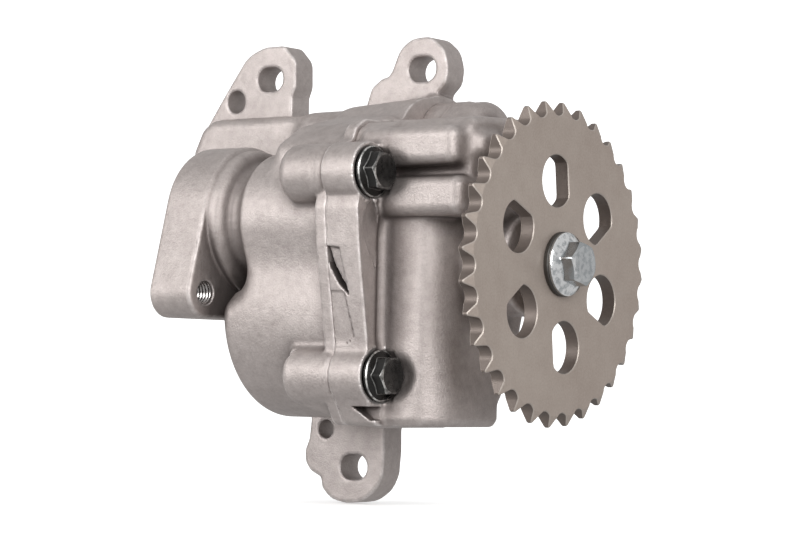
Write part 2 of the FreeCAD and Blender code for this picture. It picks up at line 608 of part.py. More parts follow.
# ---------------------------------------------------------------- shaft, key, bushes, pin
bar = cyl("shaft_r", "shaft_back_x", "shoulder_x", 0.0, 0.0, "shaft_bar")
spigot = cyl("nose_r", "shoulder_x - 1", -0.5, 0.0, 0.0, "spigot")
flat_a = box("shoulder_x", 1.0, "nose_flat", 12.0, -12.0, 12.0, "drive_flat")
flat_b = box("shoulder_x", 1.0, -12.0, "0 - nose_flat", -12.0, 12.0, "drive_flat")
tap = cyl("hub_bolt_r", "hub_washer_t - hub_bolt_len - 2", 1.0, 0.0, 0.0, "shaft_thread")
key_seat = box(-48.0, -38.0, -0.5 * VAL["key_w"], 0.5 * VAL["key_w"], "shaft_r - 0.5*key_h", "shaft_r + 2", "key_seat")
groove_ring = cut("ring_groove", cyl("shaft_r + 1", -28.4, -27.3, 0.0, 0.0, "ring_out"), [cyl("shaft_r - 0.6", -29.0, -27.0, 0.0, 0.0, "ring_in")])
shaft = finish("drive_shaft", [bar, spigot], [flat_a, flat_b, tap, key_seat, groove_ring])
key = box(-48.0, -38.0, -0.5 * VAL["key_w"], 0.5 * VAL["key_w"], "shaft_r - 0.5*key_h", "shaft_r + 0.5*key_h - 0.05", "key_bar")
node("gear_key", key)
# a wire ring in the shaft's groove, lying inside the front wall's bore behind the bush
ring = cut("shaft_ring", cyl("shaft_r + 0.9", -28.35, -27.35, 0.0, 0.0, "snap_out"), [cyl("shaft_r - 0.55", -30.0, -26.0, 0.0, 0.0, "snap_in"),
           box(-30.0, -26.0, 4.0, 10.0, -1.6, 1.6, "snap_gap")])
node("shaft_snap_ring", ring)
bush_f = cut("front_bush", cyl("bush_out_r", -26.8, "nose_x", 0.0, 0.0, "bush"), [cyl("bush_in_r", -31.0, "nose_x + 1", 0.0, 0.0, "bush_bore")])
node("front_bush", bush_f)
bush_r = cut("rear_bush", cyl("bush_out_r", -77.0, "split_x", 0.0, 0.0, "bush"), [cyl("bush_in_r", -79.0, "split_x + 1", 0.0, 0.0, "bush_bore")])
node("rear_bush", bush_r)
pin = cyl("pin_r", "pin_back_x", "pin_front_x", "idler_y", "idler_z", "pin_bar")
node("idler_pin", pin)
bush_i = cut("idler_bush", cyl("pin_bush_out_r", "gear_x", "gear_x + gear_len", "idler_y", "idler_z", "bush"),
             [cyl("pin_bush_in_r", "gear_x - 1", "gear_x + gear_len + 1", "idler_y", "idler_z", "bush_bore")])
node("idler_bush", bush_i)

# ---------------------------------------------------------------- sprocket
sp = doc.addObject("PartDesign::Body", "sprocket_body")
sk = sp.newObject("Sketcher::SketchObject", "sprocket_disc")
sk.AttachmentSupport = [(plane(sp, "YZ_Plane"), "")]
sk.MapMode = "FlatFace"
sk.AttachmentOffset = Placement(Vector(0, 0, -VAL["sprocket_t"]), Rotation())
sk.setExpression("AttachmentOffset.Base.z", "0 mm - Dimensions.sprocket_t * 1 mm")
g = sk.addGeometry(Part.Circle(Vector(0, 0, 0), Vector(0, 0, 1), VAL["sprocket_tip_r"]), False)
sk.addConstraint(Sketcher.Constraint("Coincident", g, 3, -1, 1))
c = sk.addConstraint(Sketcher.Constraint("Radius", g, VAL["sprocket_tip_r"]))
sk.renameConstraint(c, "tip")
sk.setExpression("Constraints.tip", "Dimensions.sprocket_tip_r * 1 mm")
disc_pad = sp.newObject("PartDesign::Pad", "sprocket_pad")
disc_pad.Profile = sk
disc_pad.Length = VAL["sprocket_t"]
disc_pad.setExpression("Length", "Dimensions.sprocket_t * 1 mm")
doc.recompute()
# both rims taper towards the tips: one triangle each side, turned about the shaft's axis
rim_sk = sp.newObject("Sketcher::SketchObject", "rim_taper")
rim_sk.AttachmentSupport = [(plane(sp, "XY_Plane"), "")]
rim_sk.MapMode = "FlatFace"
tip, t = VAL["sprocket_tip_r"], VAL["sprocket_t"]
for tri in (((0.0, tip - 3.3), (0.0, tip + 1.0), (-1.5, tip + 1.0)), ((-t, tip - 3.3), (-t, tip + 1.0), (-t + 1.5, tip + 1.0))):
    base = len(rim_sk.Geometry)
    v = [Vector(a, b, 0) for a, b in tri]
    for i in range(3):
        rim_sk.addGeometry(Part.LineSegment(v[i], v[(i + 1) % 3]), False)
    for i in range(3):
        rim_sk.addConstraint(Sketcher.Constraint("Coincident", base + i, 2, base + (i + 1) % 3, 1))
        rim_sk.addConstraint(Sketcher.Constraint("Block", base + i))
taper = sp.newObject("PartDesign::Groove", "rim_groove")
taper.Profile = rim_sk
taper.ReferenceAxis = (rim_sk, ["H_Axis"])
taper.Angle = 360.0
doc.recompute()
before = disc_pad.Shape.Volume
if not taper.Shape.Volume < before - 100:
    raise RuntimeError("rim taper cut nothing")
# one tooth gap: roller seat and two flanks, then repeated round the rim
gap = sp.newObject("Sketcher::SketchObject", "tooth_gap")
gap.AttachmentSupport = [(plane(sp, "YZ_Plane"), "")]
gap.MapMode = "FlatFace"
gap.AttachmentOffset = Placement(Vector(0, 0, 0), Rotation(Vector(0, 0, 1), VAL["root_phase"]))
pr_s, rs = VAL["sprocket_pitch_r"], VAL["roller_seat_r"]
beta = math.radians(62.0)
seat_l = Vector(pr_s - rs * math.cos(beta), -rs * math.sin(beta), 0)
seat_r = Vector(pr_s - rs * math.cos(beta), rs * math.sin(beta), 0)
low = Vector(pr_s - rs, 0, 0)
out_r = tip + 1.2
lean = math.radians(33.0)
run = (out_r - seat_r.x)
fl_r = Vector(out_r, seat_r.y + run * math.tan(lean), 0)
fl_l = Vector(out_r, -seat_r.y - run * math.tan(lean), 0)
gap.addGeometry(Part.Arc(seat_l, low, seat_r), False)
gap.addGeometry(Part.LineSegment(seat_r, fl_r), False)
gap.addGeometry(Part.LineSegment(fl_r, fl_l), False)
gap.addGeometry(Part.LineSegment(fl_l, seat_l), False)
for i in range(4):
    gap.addConstraint(Sketcher.Constraint("Block", i))
gap_cut = sp.newObject("PartDesign::Pocket", "tooth_gap_cut")
gap_cut.Profile = gap
gap_cut.Type = 1
gap_cut.Midplane = True
doc.recompute()
if not gap_cut.Shape.Volume < taper.Shape.Volume - 20:
    raise RuntimeError("tooth gap cut nothing")
pat = sp.newObject("PartDesign::PolarPattern", "tooth_pattern")
pat.Originals = [gap_cut]
pat.Axis = (plane(sp, "X_Axis"), [""])
pat.Angle = 360.0
pat.Occurrences = int(VAL["sprocket_teeth"])
pat.setExpression("Occurrences", "Dimensions.sprocket_teeth")
sp.Tip = pat
doc.recompute()
# one lightening hole with its flat, six times
hole = sp.newObject("Sketcher::SketchObject", "lightening_hole")
hole.AttachmentSupport = [(plane(sp, "YZ_Plane"), "")]
hole.MapMode = "FlatFace"
hole.AttachmentOffset = Placement(Vector(0, 0, 0), Rotation(Vector(0, 0, 1), VAL["hole_phase"]))
hr, hf, rp = VAL["hole_r"], VAL["hole_flat"], VAL["hole_ring_r"]
dx = math.sqrt(hr * hr - hf * hf)
pa, pb = Vector(rp - dx, -hf, 0), Vector(rp + dx, -hf, 0)
hole.addGeometry(Part.Arc(pb, Vector(rp, hr, 0), pa), False)
hole.addGeometry(Part.LineSegment(pa, pb), False)
hole.addConstraint(Sketcher.Constraint("Block", 0))
hole.addConstraint(Sketcher.Constraint("Block", 1))
hole_cut = sp.newObject("PartDesign::Pocket", "hole_cut")
hole_cut.Profile = hole
hole_cut.Type = 1
hole_cut.Midplane = True
doc.recompute()
hole_pat = sp.newObject("PartDesign::PolarPattern", "hole_pattern")
hole_pat.Originals = [hole_cut]
hole_pat.Axis = (plane(sp, "X_Axis"), [""])
hole_pat.Angle = 360.0
hole_pat.Occurrences = 6
sp.Tip = hole_pat
doc.recompute()
want = taper.Shape.Volume - 32 * (taper.Shape.Volume - gap_cut.Shape.Volume)
if abs(pat.Shape.Volume - want) > 0.02 * want or not hole_pat.Shape.Volume < pat.Shape.Volume - 6 * 150 * t:
    raise RuntimeError("sprocket patterns: %.0f wanted %.0f, holes %.0f" % (pat.Shape.Volume, want, hole_pat.Shape.Volume))
bore_a = cyl("nose_r", "0 - sprocket_t - 1", 1.0, 0.0, 0.0, "hub_bore")
bore_flats = box("0 - sprocket_t - 1", 1.0, "0 - nose_flat", "nose_flat", -12.0, 12.0, "hub_flats")
hub_hole = doc.addObject("Part::MultiCommon", "hub_hole")
hub_hole.Shapes = [bore_a, bore_flats]
doc.recompute()
sprocket = cut("sprocket", sp, [hub_hole])
node("sprocket", sprocket)

# ---------------------------------------------------------------- hub washer and bolt
w = cut("hub_washer", cyl("hub_washer_r", 0.0, "hub_washer_t", 0.0, 0.0, "washer"), [cyl("hub_bolt_r + 0.25", -1.0, "hub_washer_t + 1", 0.0, 0.0, "washer_hole")])
node("hub_washer", w)


def flange_bolt(name, af, flange_r, head_h, shank_r, x_seat, length, y, z, turn):
    """Hexagon head with a conical flange, its shank pointing along -X from the seat."""
    fl = cyl(flange_r, x_seat, "%s + 1.5" % x_seat, y, z, name + "_flange")
    cn = cone(flange_r, "0.5*%s + 0.35" % af, "%s + 1.5" % x_seat, "%s + 3.4" % x_seat, y, z, name + "_cone")
    hx = prism(af, "%s + 1.5" % x_seat, "%s + %s" % (x_seat, head_h), y, z, name + "_hex", turn)
    # the hexagon's corners are turned off under 30 degrees at its end
    dome = cone("0.5*%s + 5.0" % af, "0.5*%s - 0.35" % af, "%s + %s - 3.1" % (x_seat, head_h), "%s + %s" % (x_seat, head_h), y, z, name + "_chamfer")
    low = cyl("0.5*%s + 5.0" % af, "%s + 1.5" % x_seat, "%s + %s - 3.1" % (x_seat, head_h), y, z, name + "_keep")
    keep = fuse(name + "_envelope", [dome, low])
    head = doc.addObject("Part::MultiCommon", uniq(name + "_head"))
    head.Shapes = [hx, keep]
    shank = cyl(shank_r, "%s - %s" % (x_seat, length), "%s + 1" % x_seat, y, z, name + "_shank")
    return fuse(name, [fl, cn, head, shank])


hub_bolt = flange_bolt("sprocket_bolt", "hub_hex_af", "hub_flange_r", "hub_head_h", "hub_bolt_r", "hub_washer_t", "hub_bolt_len", 0.0, 0.0, 17.0)
node("sprocket_bolt", hub_bolt)
bolts = []
for i, (by, bz) in enumerate((("bolt_a_y", "bolt_a_z"), ("bolt_b_y", "bolt_b_z"), ("bolt_c_y", "bolt_c_z"), ("bolt_d_y", "bolt_d_z"))):
    bolts.append(flange_bolt("housing_bolt", "bolt_hex_af", "bolt_flange_r", "bolt_head_h", "bolt_r", "seat_x", "bolt_len", by, bz, (23.0, 30.0, 5.0, 33.0)[i]))
group = doc.addObject("Part::Compound", "housing_bolt_group")
group.Links = bolts
node("housing_bolts", group)
sleeves = []
for by, bz in (("bolt_a_y", "bolt_a_z"), ("bolt_d_y", "bolt_d_z")):
    sleeves.append(cut("sleeve", cyl("sleeve_out_r", "split_x - 0.5*sleeve_len", "split_x + 0.5*sleeve_len", by, bz, "sleeve_tube"),
                       [cyl("bolt_hole_r + 0.15", "split_x - sleeve_len", "split_x + sleeve_len", by, bz, "sleeve_bore")]))
group = doc.addObject("Part::Compound", "sleeve_group")
group.Links = sleeves
node("dowel_sleeves", group)

# ---------------------------------------------------------------- relief valve
piston_body = cyl("relief_piston_r", "relief_seat_x", "relief_seat_x + relief_piston_len", "relief_y", "relief_z", "piston")
piston_hole = cyl(4.6, "relief_seat_x + 4", "relief_seat_x + relief_piston_len + 1", "relief_y", "relief_z", "piston_hole")
piston_groove = cut("balance_groove", cyl("relief_piston_r + 1", "relief_seat_x + 6", "relief_seat_x + 7", "relief_y", "relief_z", "g_out"),
                    [cyl("relief_piston_r - 0.5", "relief_seat_x + 5", "relief_seat_x + 8", "relief_y", "relief_z", "g_in")])
piston = cut("relief_piston", piston_body, [piston_hole, piston_groove])
node("relief_piston", piston)
plug = fuse("relief_plug_solid", [cyl("relief_thread_r", "relief_thread_x", "block_x", "relief_y", "relief_z", "plug_thread"),
                                  cyl("relief_thread_r + 1.6", "block_x + 1.5", "block_x + 4.0", "relief_y", "relief_z", "plug_collar"),
                                  cyl("relief_thread_r", "block_x - 1", "block_x + 2", "relief_y", "relief_z", "plug_neck")])
plug_n = cut("relief_plug", plug, [prism(8.0, "block_x - 3", "block_x + 5", "relief_y", "relief_z", "socket"),
                                   cyl(4.7, "relief_thread_x - 1", "relief_thread_x + 3", "relief_y", "relief_z", "spring_pocket")])
node("relief_plug", plug_n)
washer = cut("plug_washer", cyl("relief_thread_r + 1.9", "block_x", "block_x + 1.5", "relief_y", "relief_z", "seal"),
             [cyl("relief_thread_r", "block_x - 1", "block_x + 3", "relief_y", "relief_z", "seal_hole")])
node("relief_plug_seal", washer)
# compression spring between the piston's floor and the plug's pocket, both ends ground flat
s0 = VAL["relief_seat_x"] + 4.0
s1 = VAL["relief_thread_x"] + 3.0
wr, mr = VAL["spring_wire_r"], VAL["spring_mean_r"]
span = s1 - s0
rise = span / VAL["spring_turns"]
over = 0.6
helix = Part.makeLongHelix(rise, span + 2.0 * over, mr, 0.0)
start = Part.Wire([Part.makeCircle(wr, Vector(mr, 0, 0), Vector(0, 2.0 * math.pi * mr, rise))])
coil = Part.Wire(helix.Edges).makePipeShell([start], True, True)
if coil.ShapeType != "Solid":
    coil = Part.Solid(coil.Shells[0])
coil.translate(Vector(0, 0, -over))
spring = coil.common(Part.makeCylinder(mr + 3.0, span, Vector(0, 0, 0), Vector(0, 0, 1)))
if len(spring.Solids) != 1 or not spring.isValid():
    raise RuntimeError("spring")
spring = spring.Solids[0]
f = doc.addObject("Part::Feature", "relief_spring_shape")
f.Shape = spring
f.Placement = Placement(Vector(s0, VAL["relief_y"], VAL["relief_z"]), ROT_X)
node("relief_spring", f)

# ---------------------------------------------------------------- outlet seal and core plug
ring = doc.addObject("Part::Torus", "outlet_ring")
ring.Radius1, ring.Radius2 = VAL["oring_r"], VAL["oring_s"]
ring.setExpression("Radius1", cell("oring_r"))
ring.setExpression("Radius2", cell("oring_s"))
ring.Placement = Placement(Vector(VAL["outlet_x"], VAL["mount_y"] - VAL["oring_s"], VAL["outlet_z"]), ROT_Y)
node("outlet_seal", ring)
cup = cut("core_plug", cyl("plug_r", "round_end_x + 1", "round_end_x + 8", "plug_y", "plug_z", "cup"),
          [cyl("plug_r - 1.6", "round_end_x", "round_end_x + 6.2", "plug_y", "plug_z", "cup_inside")])
node("core_plug", cup)

# ---------------------------------------------------------------- checks and files
doc.recompute()
bad = []
for o in doc.Objects:
    if "Invalid" in o.State or "Error" in o.State:
        bad.append("%s (%s)" % (o.Name, o.Label))
for name, o in NODES:
    s = o.Shape
    if s.isNull() or not s.isValid() or s.Volume < 1e-3:
        bad.append("shape of " + name)
if bad:
    raise RuntimeError("failed: " + ", ".join(bad))
os.makedirs("parts", exist_ok=True)
for name, o in NODES:
    b = o.Shape.BoundBox
    print("%-18s solids %d  vol %9.1f  x %.1f..%.1f  y %.1f..%.1f  z %.1f..%.1f" % (name, len(o.Shape.Solids), o.Shape.Volume, b.XMin, b.XMax, b.YMin, b.YMax, b.ZMin, b.ZMax))
    o.Shape.exportStep("parts/%s.step" % name)
print(len(NODES), "nodes")
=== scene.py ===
import json
import math
import bpy
import numpy as np
from mathutils import Vector, Matrix
from mathutils.geometry import delaunay_2d_cdt


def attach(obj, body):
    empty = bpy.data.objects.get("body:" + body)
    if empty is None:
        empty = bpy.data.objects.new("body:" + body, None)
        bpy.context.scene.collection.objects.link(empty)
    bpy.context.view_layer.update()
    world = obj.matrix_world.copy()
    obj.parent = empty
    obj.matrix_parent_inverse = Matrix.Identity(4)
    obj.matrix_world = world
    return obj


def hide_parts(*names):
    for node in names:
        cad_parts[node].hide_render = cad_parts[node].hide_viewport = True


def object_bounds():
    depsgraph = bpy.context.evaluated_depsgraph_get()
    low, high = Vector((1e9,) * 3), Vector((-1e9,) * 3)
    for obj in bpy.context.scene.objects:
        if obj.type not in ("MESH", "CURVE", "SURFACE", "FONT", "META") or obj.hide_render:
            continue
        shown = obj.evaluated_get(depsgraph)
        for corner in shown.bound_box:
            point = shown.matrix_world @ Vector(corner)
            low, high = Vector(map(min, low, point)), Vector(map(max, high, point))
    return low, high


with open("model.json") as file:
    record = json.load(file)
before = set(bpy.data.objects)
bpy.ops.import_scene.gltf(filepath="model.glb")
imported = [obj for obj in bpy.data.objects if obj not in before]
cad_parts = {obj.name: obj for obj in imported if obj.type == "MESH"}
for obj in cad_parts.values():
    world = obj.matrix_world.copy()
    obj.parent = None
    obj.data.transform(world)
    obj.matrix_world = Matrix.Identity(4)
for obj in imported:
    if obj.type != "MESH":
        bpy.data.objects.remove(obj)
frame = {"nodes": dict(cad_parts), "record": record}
cad_box = [list(map(float, c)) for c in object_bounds()]

# Working coordinates: millimetres, the drive shaft's axis is X, x = 0 is the sprocket's front face.
SHIFT = np.array([100.0, -24.0, 0.0])
BODY = "housing"
INK = {}


# ------------------------------------------------------------------------------------------------ fields
def smin(a, b, k):
    if k <= 0:
        return np.minimum(a, b)
    h = np.clip(0.5 + 0.5 * (b - a) / k, 0.0, 1.0)
    return b * (1 - h) + a * h - k * h * (1 - h)


def smax(a, b, k):
    return -smin(-a, -b, k)


def rint(a, b, e):
    """Intersection of two distances with its edge rounded to radius e."""
    a, b = a + e, b + e
    return np.minimum(np.maximum(a, b), 0.0) + np.sqrt(np.maximum(a, 0.0) ** 2 + np.maximum(b, 0.0) ** 2) - e


def band(t, lo, hi):
    return np.maximum(lo - t, t - hi)


def cylx(lo, hi, cy, cz, r, e=0.8):
    return lambda x, y, z: rint(np.sqrt((y - cy) ** 2 + (z - cz) ** 2) - r, band(x, lo, hi), e)


def cyly(lo, hi, cx, cz, r, e=0.8):
    return lambda x, y, z: rint(np.sqrt((x - cx) ** 2 + (z - cz) ** 2) - r, band(y, lo, hi), e)


def cylz(lo, hi, cx, cy, r, e=0.8):
    return lambda x, y, z: rint(np.sqrt((x - cx) ** 2 + (y - cy) ** 2) - r, band(z, lo, hi), e)


def capsule(p, q, r0, r1=None):
    p, q = np.array(p, float), np.array(q, float)
    r1 = r0 if r1 is None else r1
    d = q - p
    l2 = float(d @ d)

    def f(x, y, z):
        t = np.clip(((x - p[0]) * d[0] + (y - p[1]) * d[1] + (z - p[2]) * d[2]) / l2, 0, 1)
        return np.sqrt((x - p[0] - t * d[0]) ** 2 + (y - p[1] - t * d[1]) ** 2 + (z - p[2] - t * d[2]) ** 2) - (r0 + (r1 - r0) * t)
    return f


def rbox(lo, hi, e=1.0):
    c, s = (np.array(lo, float) + hi) / 2, (np.array(hi, float) - lo) / 2

    def f(x, y, z):
        a, b, d = np.abs(x - c[0]) - s[0] + e, np.abs(y - c[1]) - s[1] + e, np.abs(z - c[2]) - s[2] + e
        return np.minimum(np.maximum(a, np.maximum(b, d)), 0) + np.sqrt(np.maximum(a, 0) ** 2 + np.maximum(b, 0) ** 2 + np.maximum(d, 0) ** 2) - e
    return f


def torusx(cx, cy, cz, big, small):
    return lambda x, y, z: np.sqrt((np.sqrt((y - cy) ** 2 + (z - cz) ** 2) - big) ** 2 + (x - cx) ** 2) - small


def cone_x(lo, hi, cy, cz, r0, r1, e=0.6):
    """Taper along X from radius r0 at lo to r1 at hi."""
    sl = (r1 - r0) / (hi - lo)
    n = 1.0 / math.sqrt(1 + sl * sl)
    return lambda x, y, z: rint((np.sqrt((y - cy) ** 2 + (z - cz) ** 2) - (r0 + (x - lo) * sl)) * n, band(x, lo, hi), e)


def rounded(pts, radii):
    """Closed outline with each corner turned into an arc, as dense points."""
    out, n = [], len(pts)
    if isinstance(radii, (int, float)):
        radii = [radii] * n
    for i in range(n):
        a, b, c = (np.array(pts[(i + k) % n], float) for k in (-1, 0, 1))
        u, v = a - b, c - b
        lu, lv = np.linalg.norm(u), np.linalg.norm(v)
        u, v = u / lu, v / lv
        ang = math.acos(max(-1, min(1, float(u @ v))))
        if radii[i] < 0.05 or ang > math.pi - 0.05:
            out.append(tuple(b))
            continue
        t = min(radii[i] / math.tan(ang / 2), 0.48 * lu, 0.48 * lv)
        r = t * math.tan(ang / 2)
        m = (u + v) / np.linalg.norm(u + v)
        ctr = b + m * (r / math.sin(ang / 2))
        p, q = b + u * t, b + v * t
        a0, a1 = math.atan2(*(p - ctr)[::-1]), math.atan2(*(q - ctr)[::-1])
        da = (a1 - a0 + math.pi) % (2 * math.pi) - math.pi
        steps = max(2, int(abs(da) * r / 0.8) + 2)
        for k in range(steps + 1):
            w = a0 + da * k / steps
            out.append((ctr[0] + r * math.cos(w), ctr[1] + r * math.sin(w)))
    return out


def hull(circles):
    """Outline of the convex hull of circles (a, b, radius)."""
    p = [(a + r * math.cos(t), b + r * math.sin(t)) for a, b, r in circles for t in np.linspace(0, 2 * math.pi, 73)[:-1]]
    p = sorted(set((round(a, 4), round(b, 4)) for a, b in p))

    def half(seq):
        h = []
        for q in seq:
            while len(h) > 1 and (h[-1][0] - h[-2][0]) * (q[1] - h[-2][1]) - (h[-1][1] - h[-2][1]) * (q[0] - h[-2][0]) <= 0:
                h.pop()
            h.append(q)
        return h[:-1]
    return half(p) + half(reversed(p))


def poly2(a, b, pts):
    """Signed distance in a plane to a closed outline."""
    a, b = np.broadcast_arrays(a, b)
    d = np.full(a.shape, 1e9, np.float32)
    inside = np.zeros(a.shape, bool)
    n = len(pts)
    for i in range(n):
        (x0, y0), (x1, y1) = pts[i], pts[(i + 1) % n]
        ex, ey = x1 - x0, y1 - y0
        l2 = ex * ex + ey * ey
        if l2 < 1e-9:
            continue
        t = np.clip(((a - x0) * ex + (b - y0) * ey) / l2, 0, 1)
        d = np.minimum(d, (a - x0 - t * ex) ** 2 + (b - y0 - t * ey) ** 2)
        if y0 != y1:
            cross = ((y0 > b) != (y1 > b)) & (a < (x1 - x0) * (b - y0) / (y1 - y0) + x0)
            inside ^= cross
    return np.where(inside, -1.0, 1.0) * np.sqrt(d)


def prism(axis, pts, lo, hi, e=0.8):
    """Outline pulled along an axis; pts are in the other two axes, in order."""
    def f(x, y, z):
        if axis == "x":
            return rint(poly2(y, z, pts), band(x, lo, hi), e)
        if axis == "y":
            return rint(poly2(x, z, pts), band(y, lo, hi), e)
        return rint(poly2(x, y, pts), band(z, lo, hi), e)
    return f


class Field:
    """A solid as a list of joined and cut shapes, meshed by surface nets."""

    def __init__(self):
        self.ops = []

    def add(self, f, box, k=0.0):
        self.ops.append((1, f, box, k))

    def cut(self, f, box, k=0.0):
        self.ops.append((-1, f, box, k))

    def grid(self, lo, hi, h):
        n = [int(math.ceil((hi[i] - lo[i]) / h)) + 1 for i in range(3)]
        ax = [(lo[i] + h * np.arange(n[i])).astype(np.float32) for i in range(3)]
        F = np.full(n, 50.0, np.float32)
        for s, f, box, k in self.ops:
            m = k + 3.0
            sl = []
            for i in range(3):
                a = np.searchsorted(ax[i], box[2 * i] - m)
                b = np.searchsorted(ax[i], box[2 * i + 1] + m)
                sl.append(slice(int(a), int(b)))
            if any(q.stop <= q.start for q in sl):
                continue
            x = ax[0][sl[0]][:, None, None]
            y = ax[1][sl[1]][None, :, None]
            z = ax[2][sl[2]][None, None, :]
            v = f(x, y, z)
            sub = F[tuple(sl)]
            F[tuple(sl)] = smin(sub, v, k) if s > 0 else smax(sub, -v, k)
        return F, ax

    def at(self, P, reach=3.0):
        F = np.full(len(P), 50.0)
        for s, f, box, k in self.ops:
            m = k + reach
            w = np.ones(len(P), bool)
            for i in range(3):
                w &= (P[:, i] > box[2 * i] - m) & (P[:, i] < box[2 * i + 1] + m)
            if not w.any():
                continue
            v = f(P[w, 0], P[w, 1], P[w, 2])
            F[w] = smin(F[w], v, k) if s > 0 else smax(F[w], -v, k)
        return F

    def gradient(self, P, e=0.05):
        g = np.empty_like(P)
        for i in range(3):
            q = P.copy()
            q[:, i] += e
            w = P.copy()
            w[:, i] -= e
            g[:, i] = (self.at(q) - self.at(w)) / (2 * e)
        return g

    def mesh(self, lo, hi, h):
        F, ax = self.grid(lo, hi, h)
        F += 1e-5
        S = F < 0
        c = S[:-1, :-1, :-1].astype(np.int8)
        for dx in (0, 1):
            for dy in (0, 1):
                for dz in (0, 1):
                    if dx + dy + dz:
                        c = c + S[dx:S.shape[0] - 1 + dx, dy:S.shape[1] - 1 + dy, dz:S.shape[2] - 1 + dz]
        act = np.argwhere((c > 0) & (c < 8))
        idx = np.full(c.shape, -1, np.int64)
        idx[tuple(act.T)] = np.arange(len(act))
        P = np.zeros((len(act), 3))
        cnt = np.zeros(len(act))
        corners = [(0, 0, 0), (1, 0, 0), (0, 1, 0), (1, 1, 0), (0, 0, 1), (1, 0, 1), (0, 1, 1), (1, 1, 1)]
        vals = [F[act[:, 0] + a, act[:, 1] + b, act[:, 2] + d] for a, b, d in corners]
        for i, j in ((0, 1), (2, 3), (4, 5), (6, 7), (0, 2), (1, 3), (4, 6), (5, 7), (0, 4), (1, 5), (2, 6), (3, 7)):
            m = (vals[i] < 0) != (vals[j] < 0)
            t = np.where(m, vals[i] / np.where(m, vals[i] - vals[j], 1.0), 0)
            a, b = np.array(corners[i], float), np.array(corners[j], float)
            P += np.where(m[:, None], a + t[:, None] * (b - a), 0)
            cnt += m
        P = (P / cnt[:, None] + act) * h + np.array(lo)
        quads = []
        for d in range(3):
            u, w = (d + 1) % 3, (d + 2) % 3
            a = [slice(None)] * 3
            b = [slice(None)] * 3
            a[d], b[d] = slice(0, -1), slice(1, None)
            ch = S[tuple(a)] != S[tuple(b)]
            pos = np.argwhere(ch)
            ok = (pos[:, u] > 0) & (pos[:, w] > 0) & (pos[:, u] < S.shape[u] - 1) & (pos[:, w] < S.shape[w] - 1)
            pos = pos[ok]
            first = S[tuple(pos.T)]
            eu, ew = np.eye(3, dtype=int)[u], np.eye(3, dtype=int)[w]
            q = [idx[tuple((pos - k).T)] for k in (0 * eu, eu, eu + ew, ew)]
            q = np.stack(q, 1)
            q[~first] = q[~first][:, ::-1]
            quads.append(q)
        Q = np.concatenate(quads)
        Q = Q[(Q >= 0).all(1)]
        for _ in range(4):
            v = self.at(P)
            g = self.gradient(P)
            n2 = np.maximum((g * g).sum(1), 0.05)
            P -= np.clip(v / n2, -0.35 * h, 0.35 * h)[:, None] * g
        return P, Q


def to_object(name, P, Q, smooth=True):
    """Mesh object from working coordinates."""
    V = (P + SHIFT) / 1000.0
    me = bpy.data.meshes.new(name)
    me.vertices.add(len(V))
    me.vertices.foreach_set("co", V.astype(np.float32).ravel())
    Q = np.asarray(Q)
    me.loops.add(Q.size)
    me.loops.foreach_set("vertex_index", Q.astype(np.int32).ravel())
    me.polygons.add(len(Q))
    me.polygons.foreach_set("loop_start", np.arange(0, Q.size, Q.shape[1], dtype=np.int32))
    me.polygons.foreach_set("use_smooth", np.full(len(Q), smooth))
    me.update(calc_edges=True)
    me.validate()
    ob = bpy.data.objects.new(name, me)
    bpy.context.scene.collection.objects.link(ob)
    return ob


def attribute(ob, name, values):
    at = ob.data.attributes.new(name, "FLOAT", "POINT")
    at.data.foreach_set("value", np.asarray(values, np.float32))


# ------------------------------------------------------------------------------------------------ sizes
SPLIT, RIM, SEAT, FRONT, BLOCK, NOSE = -57.0, -61.0, -44.5, -25.0, -16.0, -10.0
BOLTS = ((-38.1, 27.0), (-32.5, -35.0), (15.4, 38.5), (14.0, -37.5))
EARS = ((-127.8, 64.8), (-64.2, 64.8), (-89.1, -64.8))
NECK = (-17.0, 14.2)
ROUND = (-4.0, -15.2)
DISC = 24.2
LUGS = ((-40.0, -9.6), (6.6, -9.6))
OUT = (-80.0, -16.0)
RELIEF = (-2.0, 33.0)
IDLER = (-8.0, -26.3106)

# ------------------------------------------------------------------------------------------------ outlines
# joint flange of the rear casting and the smaller outline of the front casting, as (y, z); the step between them shows on top
JOINT_TOP = [(24.0, 54.7), (20.3, 55.5), (15.2, 56.0), (10.9, 55.3), (7.4, 53.6), (3.6, 50.4), (0.6, 47.4), (-2.3, 46.4), (-18.0, 45.0), (-24.8, 44.9), (-29.4, 42.2), (-31.4, 38.0)]
CASE_TOP = [(24.0, 53.0), (19.1, 53.4), (13.9, 53.4), (10.2, 52.2), (6.9, 49.8), (4.4, 46.6), (1.2, 44.8), (-18.0, 43.8), (-24.2, 43.6), (-28.4, 41.2), (-30.4, 37.2)]
SIDE = [(-44.7, 16.0), (-43.6, 4.5), (-42.1, -4.7), (-38.7, -24.5), (-37.5, -43.0), (-33.0, -50.3), (6.0, -50.3), (19.0, -45.0), (24.0, -37.0)]
JOINT = rounded(SIDE + JOINT_TOP + [(-41.0, 34.0)], [4, 12, 14, 10, 3, 3, 6, 5, 3] + [1, 4, 5, 4, 4, 5, 4, 4, 8, 4, 4, 2] + [3])
CASE = rounded(SIDE + CASE_TOP + [(-41.0, 33.0)], [4, 12, 14, 10, 3, 3, 6, 5, 3] + [1, 4, 5, 4, 4, 5, 4, 8, 4, 4, 2] + [3])

